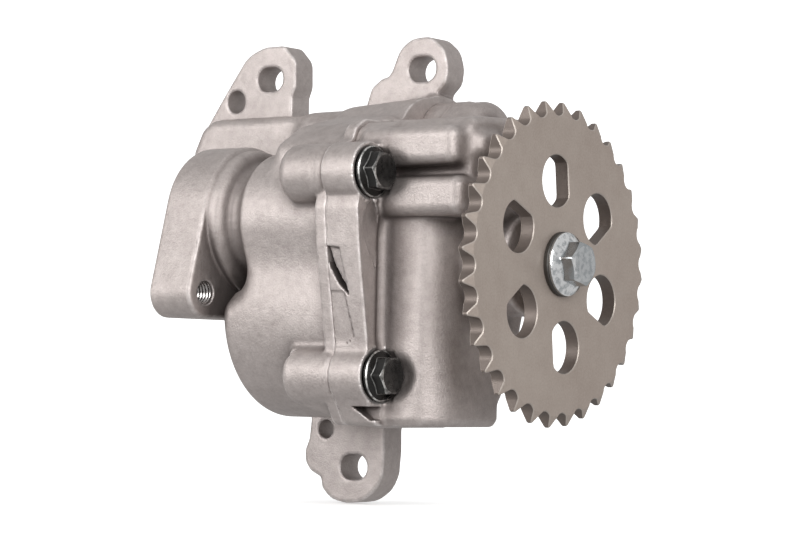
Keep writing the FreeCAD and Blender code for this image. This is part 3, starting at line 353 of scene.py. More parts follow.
# ------------------------------------------------------------------------------------------------ rear casting
rear = Field()
PLATE = rounded(
    [(-158.4, 41.0), (-155.6, 49.6), (-147.6, 60.6), (-138.0, 73.2), (-130.5, 75.9), (-122.0, 75.9), (-117.0, 70.6), (-116.8, 62.0), (-118.2, 58.6),
     (-118.2, 49.0), (-88.5, 49.0), (-86.6, 54.4), (-84.8, 59.6), (-80.7, 62.5), (-77.9, 63.1), (-76.4, 65.0), (-73.4, 71.8), (-68.6, 75.1),
     (-61.0, 75.4), (-55.6, 70.9), (-53.9, 65.0), (-54.7, 60.0), (-58.2, 56.6), (-58.2, 48.0), (-57.0, 46.0), (-57.0, -50.3), (-76.8, -50.3),
     (-76.6, -59.0), (-77.2, -67.0), (-79.6, -72.0), (-85.3, -75.9), (-92.2, -76.8), (-98.5, -75.6), (-102.3, -72.0), (-102.8, -68.6),
     (-107.2, -66.6), (-109.4, -63.8), (-109.7, -59.9), (-108.0, -56.0), (-107.2, -49.0), (-116.0, -34.0), (-128.0, -17.0), (-141.0, 2.0), (-152.0, 22.0)],
    [8, 6, 20, 12, 8, 3.5, 5, 5, 2, 1, 2, 3, 4, 4, 2, 3, 8, 8, 7, 7, 8, 4, 2, 1, 1, 1, 2.5, 4, 8, 10, 12, 14, 10, 3, 1.5, 4, 4, 4, 3, 3, 8, 8, 8, 8])


def plate(x, y, z):
    return rint(poly2(x, z, PLATE), band(y, 14.0, 24.0), 0.8)


rear.add(plate, (-160, -53, 14, 24, -77, 77))
# suction chamber, neck, roll and groove behind the inlet flange
rear.add(cylx(-104.5, SPLIT, *ROUND, 33.4, 4.2), (-104.5, -57, -38, 30, -49, 19), 3.0)
rear.add(cylx(-109.0, SPLIT, *NECK, 21.6, 1.0), (-109, -57, -39, 5, -8, 36), 8.0)
rear.cut(capsule((-102.5, -46.0, -7.5), (-102.5, -37.0, -5.5), 5.2), (-109, -96, -52, -31, -14, 1), 6.5)
rear.cut(torusx(-100.6, *NECK, 22.8, 4.5), (-106, -96, -47, 13, -16, 44), 1.8)
rear.add(cylx(-111.0, -103.2, *NECK, 22.9, 3.4), (-111, -103, -41, 7, -9, 38), 2.2)
FLANGE = hull([(NECK[0], NECK[1], DISC), (LUGS[0][0], LUGS[0][1], 8.0), (LUGS[1][0], LUGS[1][1], 8.0)])
rear.add(prism("x", FLANGE, -125.0, -108.0, 1.3), (-125, -108, -49, 16, -18, 39), 0.9)
# plate's raised ribs round the light recess above the flange
SLAB = rounded([(-158.0, 33.0), (-157.4, 41.0), (-153.6, 48.6), (-149.0, 51.4), (-80.0, 51.4), (-80.0, 33.0)], [1, 5, 6, 5, 1, 1])
rear.add(prism("y", SLAB, 8.2, 16.0, 3.6), (-158, -80, 8, 16, 33, 52), 1.0)
rear.add(rbox((-97.0, 0.0, 30.0), (-57.0, 16.0, 43.0), 3.0), (-97, -57, 0, 16, 30, 43), 3.0)
rear.add(capsule((-104.0, 9.5, 45.2), (-57.0, 3.0, 43.6), 5.4, 8.6), (-112, -47, -6, 16, 34, 53), 5.0)
rear.add(capsule((-84.0, 7.0, 45.0), (-55.0, 9.5, 46.6), 6.6, 8.4), (-92, -46, -1, 18, 37, 56), 5.0)
# boss halves for the screws
rear.add(cylx(-75.4, SPLIT, *BOLTS[0], 9.2, 4.6), (-76, -57, -48, -28, 17, 37), 2.2)
rear.add(cylx(-75.6, SPLIT, *BOLTS[1], 9.2, 2.0), (-76, -57, -43, -22, -45, -25), 2.2)
rear.add(cylx(-73.7, SPLIT, *BOLTS[3], 9.2, 4.2), (-74, -57, 4, 24, -48, -28), 3.0)
rear.cut(prism("y", [(-79.0, -24.0), (-70.4, -24.0), (-75.4, -31.6), (-79.0, -33.0)], -60, -37.4, 0.0), (-79, -70, -48, -37.4, -33, -24), 0.6)
rear.add(prism("x", JOINT, RIM, SPLIT, 0.45), (-61, -57, -46, 24, -51, 57), 0.9)
shoulder = rounded([(15.0, 51.2), (2.0, 49.4), (-6.0, 47.6), (-20.0, 44.0), (-31.0, 37.5), (-33.0, 27.0), (-17.0, 8.0), (15.0, 8.0)], [2, 8, 8, 8, 7, 6, 3, 1])
rear.add(prism("x", shoulder, -90.0, SPLIT, 5.0), (-90, -57, -33, 15, 8, 52), 3.0)
web = rounded([(15.0, -48.6), (-8.0, -48.4), (-30.0, -44.0), (-34.0, -38.0), (-28.0, -10.0), (15.0, -10.0)], [1, 6, 4, 3, 3, 1])
rear.add(prism("x", web, -70.0, SPLIT, 3.0), (-70, -57, -36, 15, -49, -10), 4.0)
SKIRT = rounded([(-77.0, -35.0), (-76.4, -39.6), (-72.4, -44.2), (-62.6, -48.2), (-51.5, -50.6), (-46.0, -50.6), (-46.0, -36.0), (-60.0, -31.0), (-74.0, -31.0)],
                [2, 3, 8, 8, 3, 1, 2, 2, 2])


def skirt(x, y, z):
    return rint(poly2(x, z, SKIRT), np.maximum(band(y, -38.6, -14.0), 0.64 * (-41.0 - y) + 0.77 * (-39.4 - z)), 0.5)


rear.add(skirt, (-77, -46, -39, -14, -51, -31), 0.8)
# cuts
rear.cut(lambda x, y, z: 24.0 - y + 0 * x + 0 * z, (-170, 0, 24, 40, -90, 90))
rear.cut(lambda x, y, z: SPLIT - x + 0 * y + 0 * z, (-57, -40, -60, 24.5, -90, 54.0))
rear.cut(lambda x, y, z: np.maximum(SPLIT - x, y - 13.9) + 0 * z, (-57, -40, -60, 13.9, 50, 60))
for ex, ez in EARS:
    f = lambda x, y, z, ex=ex, ez=ez: np.maximum(np.sqrt(np.maximum(np.abs(x - ex) - 1.3, 0) ** 2 + (z - ez) ** 2) - 4.2, 0 * y - 99)
    rear.cut(f, (ex - 6, ex + 6, 12, 26, ez - 5, ez + 5), 0.5)
rear.cut(cyly(12, 26, -100.9, -52.6, 3.05, 0), (-104, -97, 12, 26, -56, -49), 0.5)
rear.cut(cyly(12, 26, -142.6, 57.8, 3.9, 0), (-147, -138, 12, 26, 53, 62), 0.5)
rear.cut(cylx(-127, -86, *NECK, 15.5, 0.2), (-127, -86, -33, -1, -2, 30), 0.6)
rear.cut(cylx(-127, -122, *NECK, 17.5, 0.2), (-127, -122, -35, 1, -4, 32), 0.4)
rear.cut(cylx(-94, -50, -19.0, -9.0, 9.0, 0.2), (-94, -50, -28, -10, -18, 0), 0.6)
for ly, lz in LUGS:
    rear.cut(cylx(-127, -106 if ly < 0 else -109, ly, lz, 3.75, 0.2), (-127, -106, ly - 4, ly + 4, lz - 4, lz + 4), 0.4)
rear.cut(cylx(-86, -50, 9.0, -16.0, 6.0, 0.2), (-86, -50, 3, 15, -22, -10), 0.5)
rear.cut(cyly(9, 26, *OUT, 8.0, 0.2), (-88, -72, 9, 26, -24, -8), 0.6)
rear.cut(cylx(-106, -95.5, -1.0, -27.0, 17.0, 0.3), (-106, -95.5, -18, 16, -44, -10), 0.5)
rear.cut(cylx(-97, -84, -6.0, -24.0, 14.0, 0.5), (-97, -84, -20, 8, -38, -10), 0.5)
rear.cut(cylx(-79.5, -50, 0.0, 0.0, 9.5, 0.1), (-79.5, -50, -10, 10, -10, 10), 0.3)
rear.cut(cylx(-79.0, -50, *IDLER, 6.05, 0.1), (-79, -50, -14, -2, -33, -20), 0.3)
rear.cut(cylx(-68.0, -50, *RELIEF, 3.5, 0.1), (-68, -50, -6, 2, 29, 37), 0.3)
for (by, bz) in BOLTS:
    rear.cut(cylx(-70.5, -50, by, bz, 4.05, 0.1), (-70.5, -50, by - 5, by + 5, bz - 5, bz + 5), 0.3)
for i in (0, 3):
    by, bz = BOLTS[i]
    rear.cut(cylx(-62.0, -50, by, bz, 5.65, 0.1), (-62, -50, by - 6, by + 6, bz - 6, bz + 6), 0.2)
rear.cut(lambda x, y, z: rint(np.abs(np.sqrt((x - OUT[0]) ** 2 + (z - OUT[1]) ** 2) - 12.0) - 1.35, band(y, 21.35, 27.0), 0.2),
         (-94, -66, 21, 27, -30, -2), 0.3)

# ------------------------------------------------------------------------------------------------ front casting
front = Field()
front.add(prism("x", CASE, SPLIT, SEAT, 0.5), (-57, -44.5, -46, 24, -51, 54), 0.0)
for by, bz in BOLTS[:2]:
    front.add(cylx(SPLIT, SEAT, by, bz, 9.2, 0.5), (-57, -44.5, by - 10, by + 10, bz - 10, bz + 10), 1.2)
BODY2 = rounded([(-30.0, 16.5), (-30.0, -48.3), (-28.0, -50.3), (3.0, -50.3), (5.0, -48.3), (5.0, -43.5), (10.5, -36.0), (14.5, -28.0), (18.5, -14.0),
                 (21.4, -6.0), (21.8, 16.5)], [1, 1, 2, 2, 2, 3, 4, 4, 6, 6, 1])


def main_block(x, y, z):
    d = poly2(y, z, BODY2)
    # plan with one large rounded corner on the free side
    a, b = x - FRONT, -30.0 - y
    return rint(np.maximum(d, SEAT - 3.0 - x), rint(a, b, 14.0), 2.6)


front.add(main_block, (-48, -25, -30, 22, -51, 17), 2.4)
UPPER = rounded([(-26.0, 14.4), (-26.0, 41.0), (-23.5, 43.6), (-18.0, 44.6), (4.0, 45.4), (11.0, 40.0), (11.0, 14.4)], [1, 3, 3, 3, 4, 4, 1])
front.add(prism("x", UPPER, SEAT - 3, BLOCK, 2.6), (-48, -16, -26, 11, 14, 46), 1.5)
front.add(cylx(SEAT - 4, -31.2, 10.0, 40.2, 12.2, 5.0), (-49, -31, -3, 23, 27, 53), 2.5)
front.add(prism("x", rounded([(-6.0, 10.0), (-6.0, 44.0), (8.0, 49.6), (20.0, 50.6), (22.5, 46.0), (22.5, 10.0)], [1, 3, 3, 4, 3, 1]), SEAT - 3, -36.5, 3.0),
          (-48, -36, -6, 23, 10, 51), 2.5)


def valley(x, y, z):
    """Flat trough between the screws' pad and the block."""
    w = np.maximum(np.abs(z + 7.0) - 14.0, 0.0) / 9.0
    return (np.sqrt(((x + 38.6) / 7.8) ** 2 + ((y + 31.4) / 2.6) ** 2 + w * w) - 1.0) * 2.6


front.cut(valley, (-47, -30, -35, -28, -31, 17), 2.4)
# two ridges beside the upper screw, each with a round end, and a lobe behind the first
front.add(rbox((-54.0, -33.4, 28.9), (-17.2, -18.0, 41.0), 3.6), (-54, -17, -34, -18, 28, 41), 2.2)
front.add(rbox((SEAT - 3, -33.4, 13.6), (-14.6, -18.0, 25.8), 3.6), (SEAT - 3, -14, -34, -18, 13, 26), 1.4)
front.add(rbox((-24.0, -24.6, 30.8), (-13.4, -10.0, 40.4), 4.0), (-24, -13, -25, -10, 30, 41), 1.5)
front.add(cylx(FRONT - 2, NOSE, 0, 0, 16.0, 1.6), (-27, -10, -16, 16, -16, 16), 4.0)
front.add(skirt, (-77, -46, -39, -14, -51, -31), 0.8)


def side_recess(pts, depth):
    """Recess in the flange's free side that follows its outline at the given depth; pts are (x, z)."""
    def f(x, y, z):
        return np.maximum(np.maximum(poly2(x, z, pts), -depth - poly2(y, z, CASE)), y + 20.0)
    return f


front.cut(side_recess(rounded([(-57.3, 4.4), (-52.2, 3.7), (-50.0, -10.0), (-53.2, -6.2), (-55.8, -1.4)], [0, 0, 0, 6, 8]), 1.1), (-58, -50, -46, -36, -10, 5), 0.25)
front.cut(side_recess([(-57.4, 4.2), (-56.5, 4.1), (-54.9, -1.2), (-52.5, -5.8), (-49.8, -9.6), (-50.0, -10.4), (-53.7, -6.9), (-56.3, -1.9)], 5.0), (-58, -50, -46, -36, -11, 5), 0.2)
front.cut(side_recess([(-57.8, -9.2), (-51.6, -9.4), (-49.2, -23.4), (-52.0, -25.2), (-57.8, -25.6)], 0.4), (-58, -49, -43, -36, -26, -9), 0.2)
LENS = [(-37.3, 19.4), (-39.9, 16.0), (-41.5, 10.8), (-40.4, 6.0), (-37.6, 1.4), (-34.6, -2.6), (-33.4, 5.0), (-33.6, 14.0)]
front.cut(prism("x", rounded(LENS, [0.3, 6, 6, 8, 8, 0.3, 20, 20]), -45.3, -43.0, 0.0), (-46, -43, -42, -33, -3, 20), 0.5)
front.cut(prism("y", [(-51.6, -44.4), (-41.0, -44.4), (-41.0, -48.6), (-46.6, -48.6)], -60.0, -31.0, 0.0), (-52, -40, -46, -31, -49, -44), 0.3)
# cuts
front.cut(lambda x, y, z: x - SPLIT + 0 * y + 0 * z, (-90, -57, -60, 40, -90, 90))
front.cut(lambda x, y, z: 24.0 - y + 0 * x + 0 * z, (-170, 0, 24, 40, -90, 90))
front.cut(cylx(-60, -29.0, 0, 0, 16.35, 0.1), (-60, -29, -17, 17, -17, 17), 0.2)
front.cut(cylx(-60, -29.0, *IDLER, 16.35, 0.1), (-60, -29, -25, 9, -43, -10), 0.2)
front.cut(cylx(-60, -34.0, -19.5, -8.5, 7.0, 0.2), (-60, -34, -27, -12, -16, -1), 0.4)
front.cut(cylx(-60, -40.0, 9.5, -17.0, 6.0, 0.2), (-60, -40, 3, 16, -23, -11), 0.4)
front.cut(cylx(-31, -8, 0, 0, 9.52, 0.1), (-31, -8, -10, 10, -10, 10), 0.3)
front.cut(cylx(-31, -26.6, *IDLER, 6.05, 0.1), (-31, -26.6, -14, -2, -33, -20), 0.3)
front.cut(cylx(-51, -12, *RELIEF, 6.05, 0.1), (-51, -12, -8, 4, 27, 39), 0.2)
front.cut(cylx(-27, -12, *RELIEF, 8.05, 0.1), (-27, -12, -10, 6, 25, 41), 0.2)
front.cut(cylx(-60, -50, *RELIEF, 3.5, 0.1), (-60, -50, -6, 2, 29, 37), 0.2)
for (by, bz) in BOLTS:
    front.cut(cylx(-60, -40, by, bz, 4.25, 0.1), (-60, -40, by - 5, by + 5, bz - 5, bz + 5), 0.2)
    front.cut(cylx(SEAT, -41.8, by, bz, 8.35, 0.2), (SEAT, -41.8, by - 9, by + 9, bz - 9, bz + 9), 0.6)
    front.cut(capsule((SEAT, by, bz), (-39.8, by, bz), 6.7), (-52, -33, by - 7, by + 7, bz - 7, bz + 7), 2.6)
for i in (0, 3):
    by, bz = BOLTS[i]
    front.cut(cylx(-60, -52, by, bz, 5.65, 0.1), (-60, -52, by - 6, by + 6, bz - 6, bz + 6), 0.2)

# ------------------------------------------------------------------------------------------------ meshes
H = 0.6


def casting(field, name, lo, hi):
    P, Q = field.mesh(lo, hi, H)
    ob = to_object(name, P, Q)
    g = field.gradient(P)
    n = g / np.maximum(np.linalg.norm(g, axis=1), 1e-6)[:, None]
    # how much the surface bends away (edges) or in (corners), from the field a little off the surface
    d = 1.1
    t1 = np.cross(n, np.where(np.abs(n[:, :1]) < 0.7, [[1.0, 0, 0]], [[0, 1.0, 0]]))
    t1 /= np.linalg.norm(t1, axis=1)[:, None]
    t2 = np.cross(n, t1)
    lap = sum(field.at(P + s * d * t) for t in (t1, t2) for s in (-1, 1)) / 4.0
    attribute(ob, "bend", np.clip(lap / 0.45, -1, 1))
    # how closed in a place is: distance to the nearest surface at some points off this one; the casting material paints
    # shade into hollows from it
    attribute(ob, "closed", sum(w * (1.0 - np.clip(field.at(P + q * n, q + 1.0) / q, 0, 1)) for q, w in ((3.0, 0.3), (7.0, 0.4), (12.0, 0.3)))
              * (1.0 - 0.85 * np.clip((P[:, 1] - 9.0) / 3.0, 0, 1)))
    return ob, P, n


rear_ob, RP, RN = casting(rear, "rear_casting", (-161, -52, -79), (-52, 26.5, 79))
front_ob, FP, FN = casting(front, "front_casting", (-59, -52, -53), (-8, 26.5, 54))
for ob, nd in ((rear_ob, "rear_housing"), (front_ob, "gear_housing")):
    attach(ob, BODY)
    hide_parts(nd)
# machined areas: the mounting face, the inlet flange's face, the front casting's joint face and the bolt seats
attribute(rear_ob, "cut", ((RP[:, 1] > 23.9) | ((RP[:, 0] < -124.9) & (RP[:, 1] < 9.0) & (RP[:, 2] < 38.5))).astype(float))
attribute(front_ob, "cut", ((FP[:, 1] > 23.9) | (FP[:, 0] < -56.9) | ((np.abs(FP[:, 0] - SEAT) < 0.25) & (np.min([np.hypot(FP[:, 1] - by, FP[:, 2] - bz) for by, bz in BOLTS], 0) < 9.4))).astype(float))


# ------------------------------------------------------------------------------------------------ turned and cut parts
def poly_object(name, verts, faces, kind=None, sharp=32.0):
    V = (np.array(verts, float) + SHIFT) / 1000.0
    me = bpy.data.meshes.new(name)
    me.from_pydata([tuple(v) for v in V], [], [tuple(int(i) for i in f) for f in faces])
    me.validate()
    me.polygons.foreach_set("use_smooth", [True] * len(me.polygons))
    me.set_sharp_from_angle(angle=math.radians(sharp))
    if kind is not None and len(kind) == len(me.polygons):
        me.attributes.new("rim", "FLOAT", "FACE").data.foreach_set("value", np.array(kind, np.float32))
    ob = bpy.data.objects.new(name, me)
    bpy.context.scene.collection.objects.link(ob)
    return ob


def lathe(rings, centre, n=96):
    """Rings along X round a centre (y, z). A ring is (x, radius), each a number or a function of the angle; radius 0 is a pole."""
    V, F, K, prev = [], [], [], None
    ang = [2 * math.pi * i / n for i in range(n)]
    for x, r, *mark in rings:
        if r == 0:
            V.append((x, centre[0], centre[1]))
            cur = [len(V) - 1]
        else:
            cur = []
            for t in ang:
                xx = x(t) if callable(x) else x
                rr = r(t) if callable(r) else r
                V.append((xx, centre[0] + rr * math.cos(t), centre[1] + rr * math.sin(t)))
                cur.append(len(V) - 1)
        if prev is not None:
            if len(prev) == 1:
                F += [(prev[0], cur[(i + 1) % n], cur[i]) for i in range(n)]
            elif len(cur) == 1:
                F += [(prev[i], prev[(i + 1) % n], cur[0]) for i in range(n)]
            else:
                F += [(prev[i], prev[(i + 1) % n], cur[(i + 1) % n], cur[i]) for i in range(n)]
            K += [float(mark[0](ang[j % n]) if mark and callable(mark[0]) else (mark[0] if mark else 0.0)) for j in range(len(F) - len(K))]
        prev = cur
    return V, F, K


def merged(parts):
    V, F, K = [], [], []
    for v, f, k in parts:
        o = len(V)
        V += v
        F += [tuple(i + o for i in q) for q in f]
        K += k
    return V, F, K


def flange_bolt(seat, centre, af, flange, height, shank, length, corner, dish, rise, chamfer, mark, top_mark):
    """Hexagon flange bolt whose seat is at x = seat; corner is the angle of one hexagon corner."""
    flat, c0 = af / 2.0, math.radians(corner)

    def hexr(t):
        d = (t - c0 + math.pi / 6) % (math.pi / 3) - math.pi / 6
        return min(flat / math.cos(math.pi / 6 - abs(d)), flat / math.cos(math.pi / 6) - 0.12)
    lip, top = flange - 0.35, flat + 0.5
    # painted highlight: rim value for the chamfer, strongest on the side that faces the key light
    lit_side_glint = lambda t: 0.12 + 0.88 * max(0.0, -math.cos(t - 0.25)) ** 2
    x0, x1 = seat + 1.3, seat + rise
    foot = lambda t: x0 + (lip - hexr(t)) / (lip - top) * (x1 - x0)
    blunt = chamfer * flat
    shoulder = lambda t: seat + height - (hexr(t) - blunt) * 0.5
    h = seat + height
    rings = [(seat - length, 0), (seat - length, shank - 0.7), (seat - length + 0.7, shank), (seat - 0.2, shank), (seat, shank + 0.2), (seat, flange - 0.3),
             (seat + 0.25, flange), (seat + 0.95, flange), (x0, lip, 1), (lambda t: x0 + 0.5 * (foot(t) - x0), lambda t: 0.5 * (lip + hexr(t)), mark),
             (lambda t: foot(t) - 0.12, lambda t: hexr(t) + 0.2, mark), (lambda t: foot(t) + 0.12, hexr, 0.3), (lambda t: shoulder(t) - 0.15, hexr),
             (lambda t: shoulder(t) + 0.05, lambda t: hexr(t) - 0.12, lit_side_glint), (h - 0.06, blunt, lit_side_glint), (h, blunt - 0.2, lit_side_glint), (h, blunt - 0.4, top_mark)]
    rings += [(h, dish[0], top_mark), (h - 0.35 * dish[1], dish[0] - 0.25, top_mark), (h - 0.9 * dish[1], 0.86 * dish[0] - 0.25, top_mark),
              (h - dish[1], 0.55 * dish[0], top_mark), (h - dish[1], 0, top_mark)]
    return lathe(rings, centre)


CORNERS = (55.0, 1.0, 35.0, 12.0)
screws = merged([flange_bolt(SEAT, BOLTS[i], 11.0, 7.85, (5.7, 5.8, 5.7, 5.7)[i], 3.95, 25.0, CORNERS[i], (2.9, 0.04), 2.1, 0.945, 0.0, 0.05) for i in range(4)])
screw_ob = poly_object("flange_screws", *screws, 19.0)
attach(screw_ob, BODY)
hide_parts("housing_bolts")
hub_ob = poly_object("hub_screw", *flange_bolt(1.6, (0.0, 0.0), 12.2, 9.7, 7.2, 3.95, 24.0, 47.0, (4.3, 0.35), 2.7, 0.93, 0.95, 0.45), 19.0)
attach(hub_ob, "rotor")
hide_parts("sprocket_bolt")
washer_ob = poly_object("hub_ring", *lathe([(0.25, 4.3), (0.0, 4.6), (0.0, 9.6), (0.25, 9.9), (1.35, 9.9), (1.6, 9.6), (1.6, 4.6), (1.35, 4.3), (0.25, 4.3)], (0.0, 0.0)))
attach(washer_ob, "rotor")
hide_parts("hub_washer")


def hexsock(af, corner=0.0):
    return lambda t: 0.5 * af / math.cos((t - math.radians(corner)) % (math.pi / 3) - math.pi / 6)


sock = hexsock(8.0)
relief_ob = poly_object("relief_screw", *lathe([
    (-27.0, 0), (-27.0, 7.3), (-26.3, 8.0), (-16.2, 8.0), (-16.0, 8.2), (-14.5, 8.2), (-14.5, 9.3), (-14.2, 9.6), (-12.6, 9.6), (-12.0, 9.0), (-12.0, lambda t: sock(t) + 0.5),
    (-12.5, sock), (-18.6, sock), (-19.0, lambda t: sock(t) - 0.4), (-19.0, 0)], RELIEF))
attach(relief_ob, BODY)
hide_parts("relief_plug")
cup_ob = poly_object("core_cup", *lathe([(-96.5, 0), (-96.5, 16.0), (-97.5, 17.0), (-102.9, 17.0), (-103.5, 16.6), (-103.5, 15.7), (-103.1, 15.4), (-98.9, 15.3),
                                         (-98.2, 15.0), (-97.9, 14.2), (-97.9, 0)][::-1], (-1.0, -27.0)))
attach(cup_ob, BODY)
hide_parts("core_plug")


def threads(x0, x1, centre, r, pitch, depth, n=48):
    """Tapped hole's inner surface as a thin sleeve with a helical V thread."""
    steps = max(8, int((x1 - x0) / pitch * 10))
    V, F = [], []
    for j in range(steps + 1):
        x = x0 + (x1 - x0) * j / steps
        fade = min(1.0, 0.25 + (x - x0) / 1.0, 0.25 + (x1 - x) / 1.0)
        for i in range(n):
            t = 2 * math.pi * i / n
            w = ((x / pitch - i / n) % 1.0)
            rr = r - depth * fade * (1 - abs(2 * w - 1))
            V.append((x, centre[0] + rr * math.cos(t), centre[1] + rr * math.sin(t)))
    base = len(V)
    for j in (0, steps):
        x = x0 + (x1 - x0) * j / steps
        for i in range(n):
            t = 2 * math.pi * i / n
            V.append((x, centre[0] + (r + 0.25) * math.cos(t), centre[1] + (r + 0.25) * math.sin(t)))
    for j in range(steps):
        for i in range(n):
            a, b = j * n + i, j * n + (i + 1) % n
            F.append((a, a + n, b + n, b))
    last = steps * n
    for i in range(n):
        k = (i + 1) % n
        F.append((base + i, i, k, base + k))
        F.append((last + i, base + n + i, base + n + k, last + k))
        F.append((base + i, base + k, base + n + k, base + n + i))
    return V, F, [0.0] * len(F)


thread_ob = poly_object("flange_threads", *merged([threads(-124.3, -108.9, LUGS[0], 3.98, 1.25, 0.62), threads(-124.3, -110.5, LUGS[1], 3.98, 1.25, 0.62)]), sharp=50.0)
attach(thread_ob, BODY)


# ------------------------------------------------------------------------------------------------ sprocket
TEETH, PITCH_R, ROLLER, TIP_R, THICK = 32, 48.588, 3.2, 49.94, 4.9
CREASE, DROP, RUN = 46.35, 1.5, 3.3
CH = 0.28


def gap_profile():
    """One tooth gap as (radial, tangential) points, from one tip land to the next."""
    c = math.degrees(math.acos((PITCH_R ** 2 + (ROLLER + CH) ** 2 - CREASE ** 2) / (2 * PITCH_R * (ROLLER + CH))))
    arc = [-62, -55, -c, -40, -30, -20, -10, 0, 10, 20, 30, 40, c, 55, 62]
    seat = [(PITCH_R - ROLLER * math.cos(math.radians(t)), ROLLER * math.sin(math.radians(t))) for t in arc]
    lean = math.tan(math.radians(33.0))
    x0, y0 = seat[-1]
    x = x0
    for _ in range(40):
        y = y0 + (x - x0) * lean
        x += (TIP_R - 0.25 - math.hypot(x, y)) * 0.8
    y = y0 + (x - x0) * lean
    mid = (0.5 * (x0 + x), 0.5 * (y0 + y))
    return [(x, -y), (mid[0], -mid[1])] + seat + [mid, (x, y)], arc.index(c) + 2, arc.index(-c) + 2


GAP, CR_HI, CR_LO = gap_profile()


def turned(pts, deg):
    c, s_ = math.cos(math.radians(deg)), math.sin(math.radians(deg))
    return [(a * c - b * s_, a * s_ + b * c) for a, b in pts]


def inset(loop, d):
    """Loop moved into the material, which is on its left."""
    L = np.array(loop)
    e = np.roll(L, -1, 0) - L
    e /= np.linalg.norm(e, axis=1)[:, None]
    nrm = np.stack([-e[:, 1], e[:, 0]], 1)
    a, b = np.roll(nrm, 1, 0), nrm
    return L + d * (a + b) / np.maximum(1 + (a * b).sum(1), 0.45)[:, None]


def sprocket_mesh():
    outer, crease = [], []
    for k in range(TEETH):
        deg = 92.7 + 360.0 * k / TEETH
        base = len(outer)
        outer += turned(GAP, deg)
        tip = 92.7 + 360.0 * (k + 0.5) / TEETH
        outer += [((TIP_R - 0.03) * math.cos(math.radians(tip)), (TIP_R - 0.03) * math.sin(math.radians(tip)))]
        crease.append((base + CR_HI, base + len(GAP) + 1 + CR_LO))
    dx = math.sqrt(8.08 ** 2 - 6.24 ** 2)
    a0, a1 = math.atan2(-6.24, dx), math.atan2(-6.24, -dx) + 2 * math.pi
    hole = [(25.44 + 8.08 * math.cos(t), 8.08 * math.sin(t)) for t in np.linspace(a0 + 0.05, a1 - 0.05, 44)]
    hole += [(25.44 - dx + 0.9, -6.24), (25.44 + dx - 0.9, -6.24)]
    loops = [outer] + [turned(hole, 96.0 + 60 * k)[::-1] for k in range(6)]
    w = math.acos(5.2 / 6.4)
    bore = [(6.4 * math.cos(t), 6.4 * math.sin(t)) for t in np.linspace(w, math.pi - w, 14)] + [(6.4 * math.cos(t), 6.4 * math.sin(t)) for t in np.linspace(math.pi + w, 2 * math.pi - w, 14)]
    loops.append(bore[::-1])
    flat, edges, spans = [], [], []
    for lp in loops:
        o = len(flat)
        flat += [tuple(q) for q in inset(lp, CH)]
        n = len(lp)
        edges += [(o + i, o + (i + 1) % n) for i in range(n)]
        spans.append((o, n))
    nloop = len(flat)
    n0 = spans[0][1]
    for a, b in crease:
        a, b = a % n0, b % n0
        pa, pb = flat[a], flat[b]
        ta, tb = math.atan2(pa[1], pa[0]), math.atan2(pb[1], pb[0])
        if tb < ta:
            tb += 2 * math.pi
        prev = a
        for j in range(1, 4):
            t = ta + (tb - ta) * j / 4
            flat.append((CREASE * math.cos(t), CREASE * math.sin(t)))
            edges.append((prev, len(flat) - 1))
            prev = len(flat) - 1
        edges.append((prev, b))
    # rings of loose points keep the triangles even
    for r, n in ((42.5, 96), (38.5, 72), (35.5, 72), (13.0, 36), (9.5, 24)):
        for j in range(n):
            t = 2 * math.pi * (j + 0.5) / n
            flat.append((r * math.cos(t), r * math.sin(t)))
    out = delaunay_2d_cdt([Vector(q) for q in flat], edges, [], 0, 1e-5)
    pts = np.array([tuple(v) for v in out[0]])
    back = {}
    for i, src in enumerate(out[3]):
        for q in src:
            back[q] = i
    tris = np.array([f for f in out[2]])
    cen = pts[tris].mean(1)
    keep = poly2(cen[:, 0], cen[:, 1], flat[:n0]) < 0
    for o, n in spans[1:]:
        keep &= poly2(cen[:, 0], cen[:, 1], flat[o:o + n]) > 0
    tris = tris[keep]
    area2 = np.cross(pts[tris[:, 1]] - pts[tris[:, 0]], pts[tris[:, 2]] - pts[tris[:, 0]])
    tris[area2 < 0] = tris[area2 < 0][:, ::-1]
    used = np.unique(tris)
    remap_ = -np.ones(len(pts), int)
    remap_[used] = np.arange(len(used))
    pts, tris = pts[used], remap_[tris]
    fall = lambda r: -DROP * np.maximum(0.0, r - CREASE) / RUN
    r = np.hypot(pts[:, 0], pts[:, 1])
    n = len(pts)
    V = [(fall(rr), p[0], p[1]) for rr, p in zip(r, pts)] + [(-THICK - fall(rr), p[0], p[1]) for rr, p in zip(r, pts)]
    F = [tuple(t) for t in tris] + [tuple(t[::-1] + n) for t in tris]
    kind = [0.0] * len(F)
    for (o, m), lp in zip(spans, loops):
        f = len(V)
        rr = [math.hypot(*q) for q in lp]
        V += [(float(fall(a)) - CH, q[0], q[1]) for a, q in zip(rr, lp)]
        V += [(-THICK - float(fall(a)) + CH, q[0], q[1]) for a, q in zip(rr, lp)]
        ins = [int(remap_[back[o + i]]) for i in range(m)]
        for i in range(m):
            k = (i + 1) % m
            F.append((ins[i], f + i, f + k, ins[k]))
            F.append((f + i, f + m + i, f + m + k, f + k))
            F.append((f + m + i, ins[i] + n, ins[k] + n, f + m + k))
            # rim values: 1 on the chamfers, 0.4 on the walls; the material paints highlight and shade from them
            kind += [1.0, 0.4, 1.0]
    return V, F, kind


SV, SF, SK = sprocket_mesh()
sprocket_ob = poly_object("sprocket_wheel", SV, SF, SK, 24.0)
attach(sprocket_ob, "rotor")
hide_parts("sprocket")

# ------------------------------------------------------------------------------------------------ materials
def material(name, metallic, rough, colour):
    m = bpy.data.materials.new(name)
    m.use_nodes = True
    nt = m.node_tree
    bsdf = nt.nodes["Principled BSDF"]
    bsdf.inputs["Metallic"].default_value = metallic
    bsdf.inputs["Roughness"].default_value = rough
    bsdf.inputs["Base Color"].default_value = (*colour, 1)
    return m, nt, bsdf


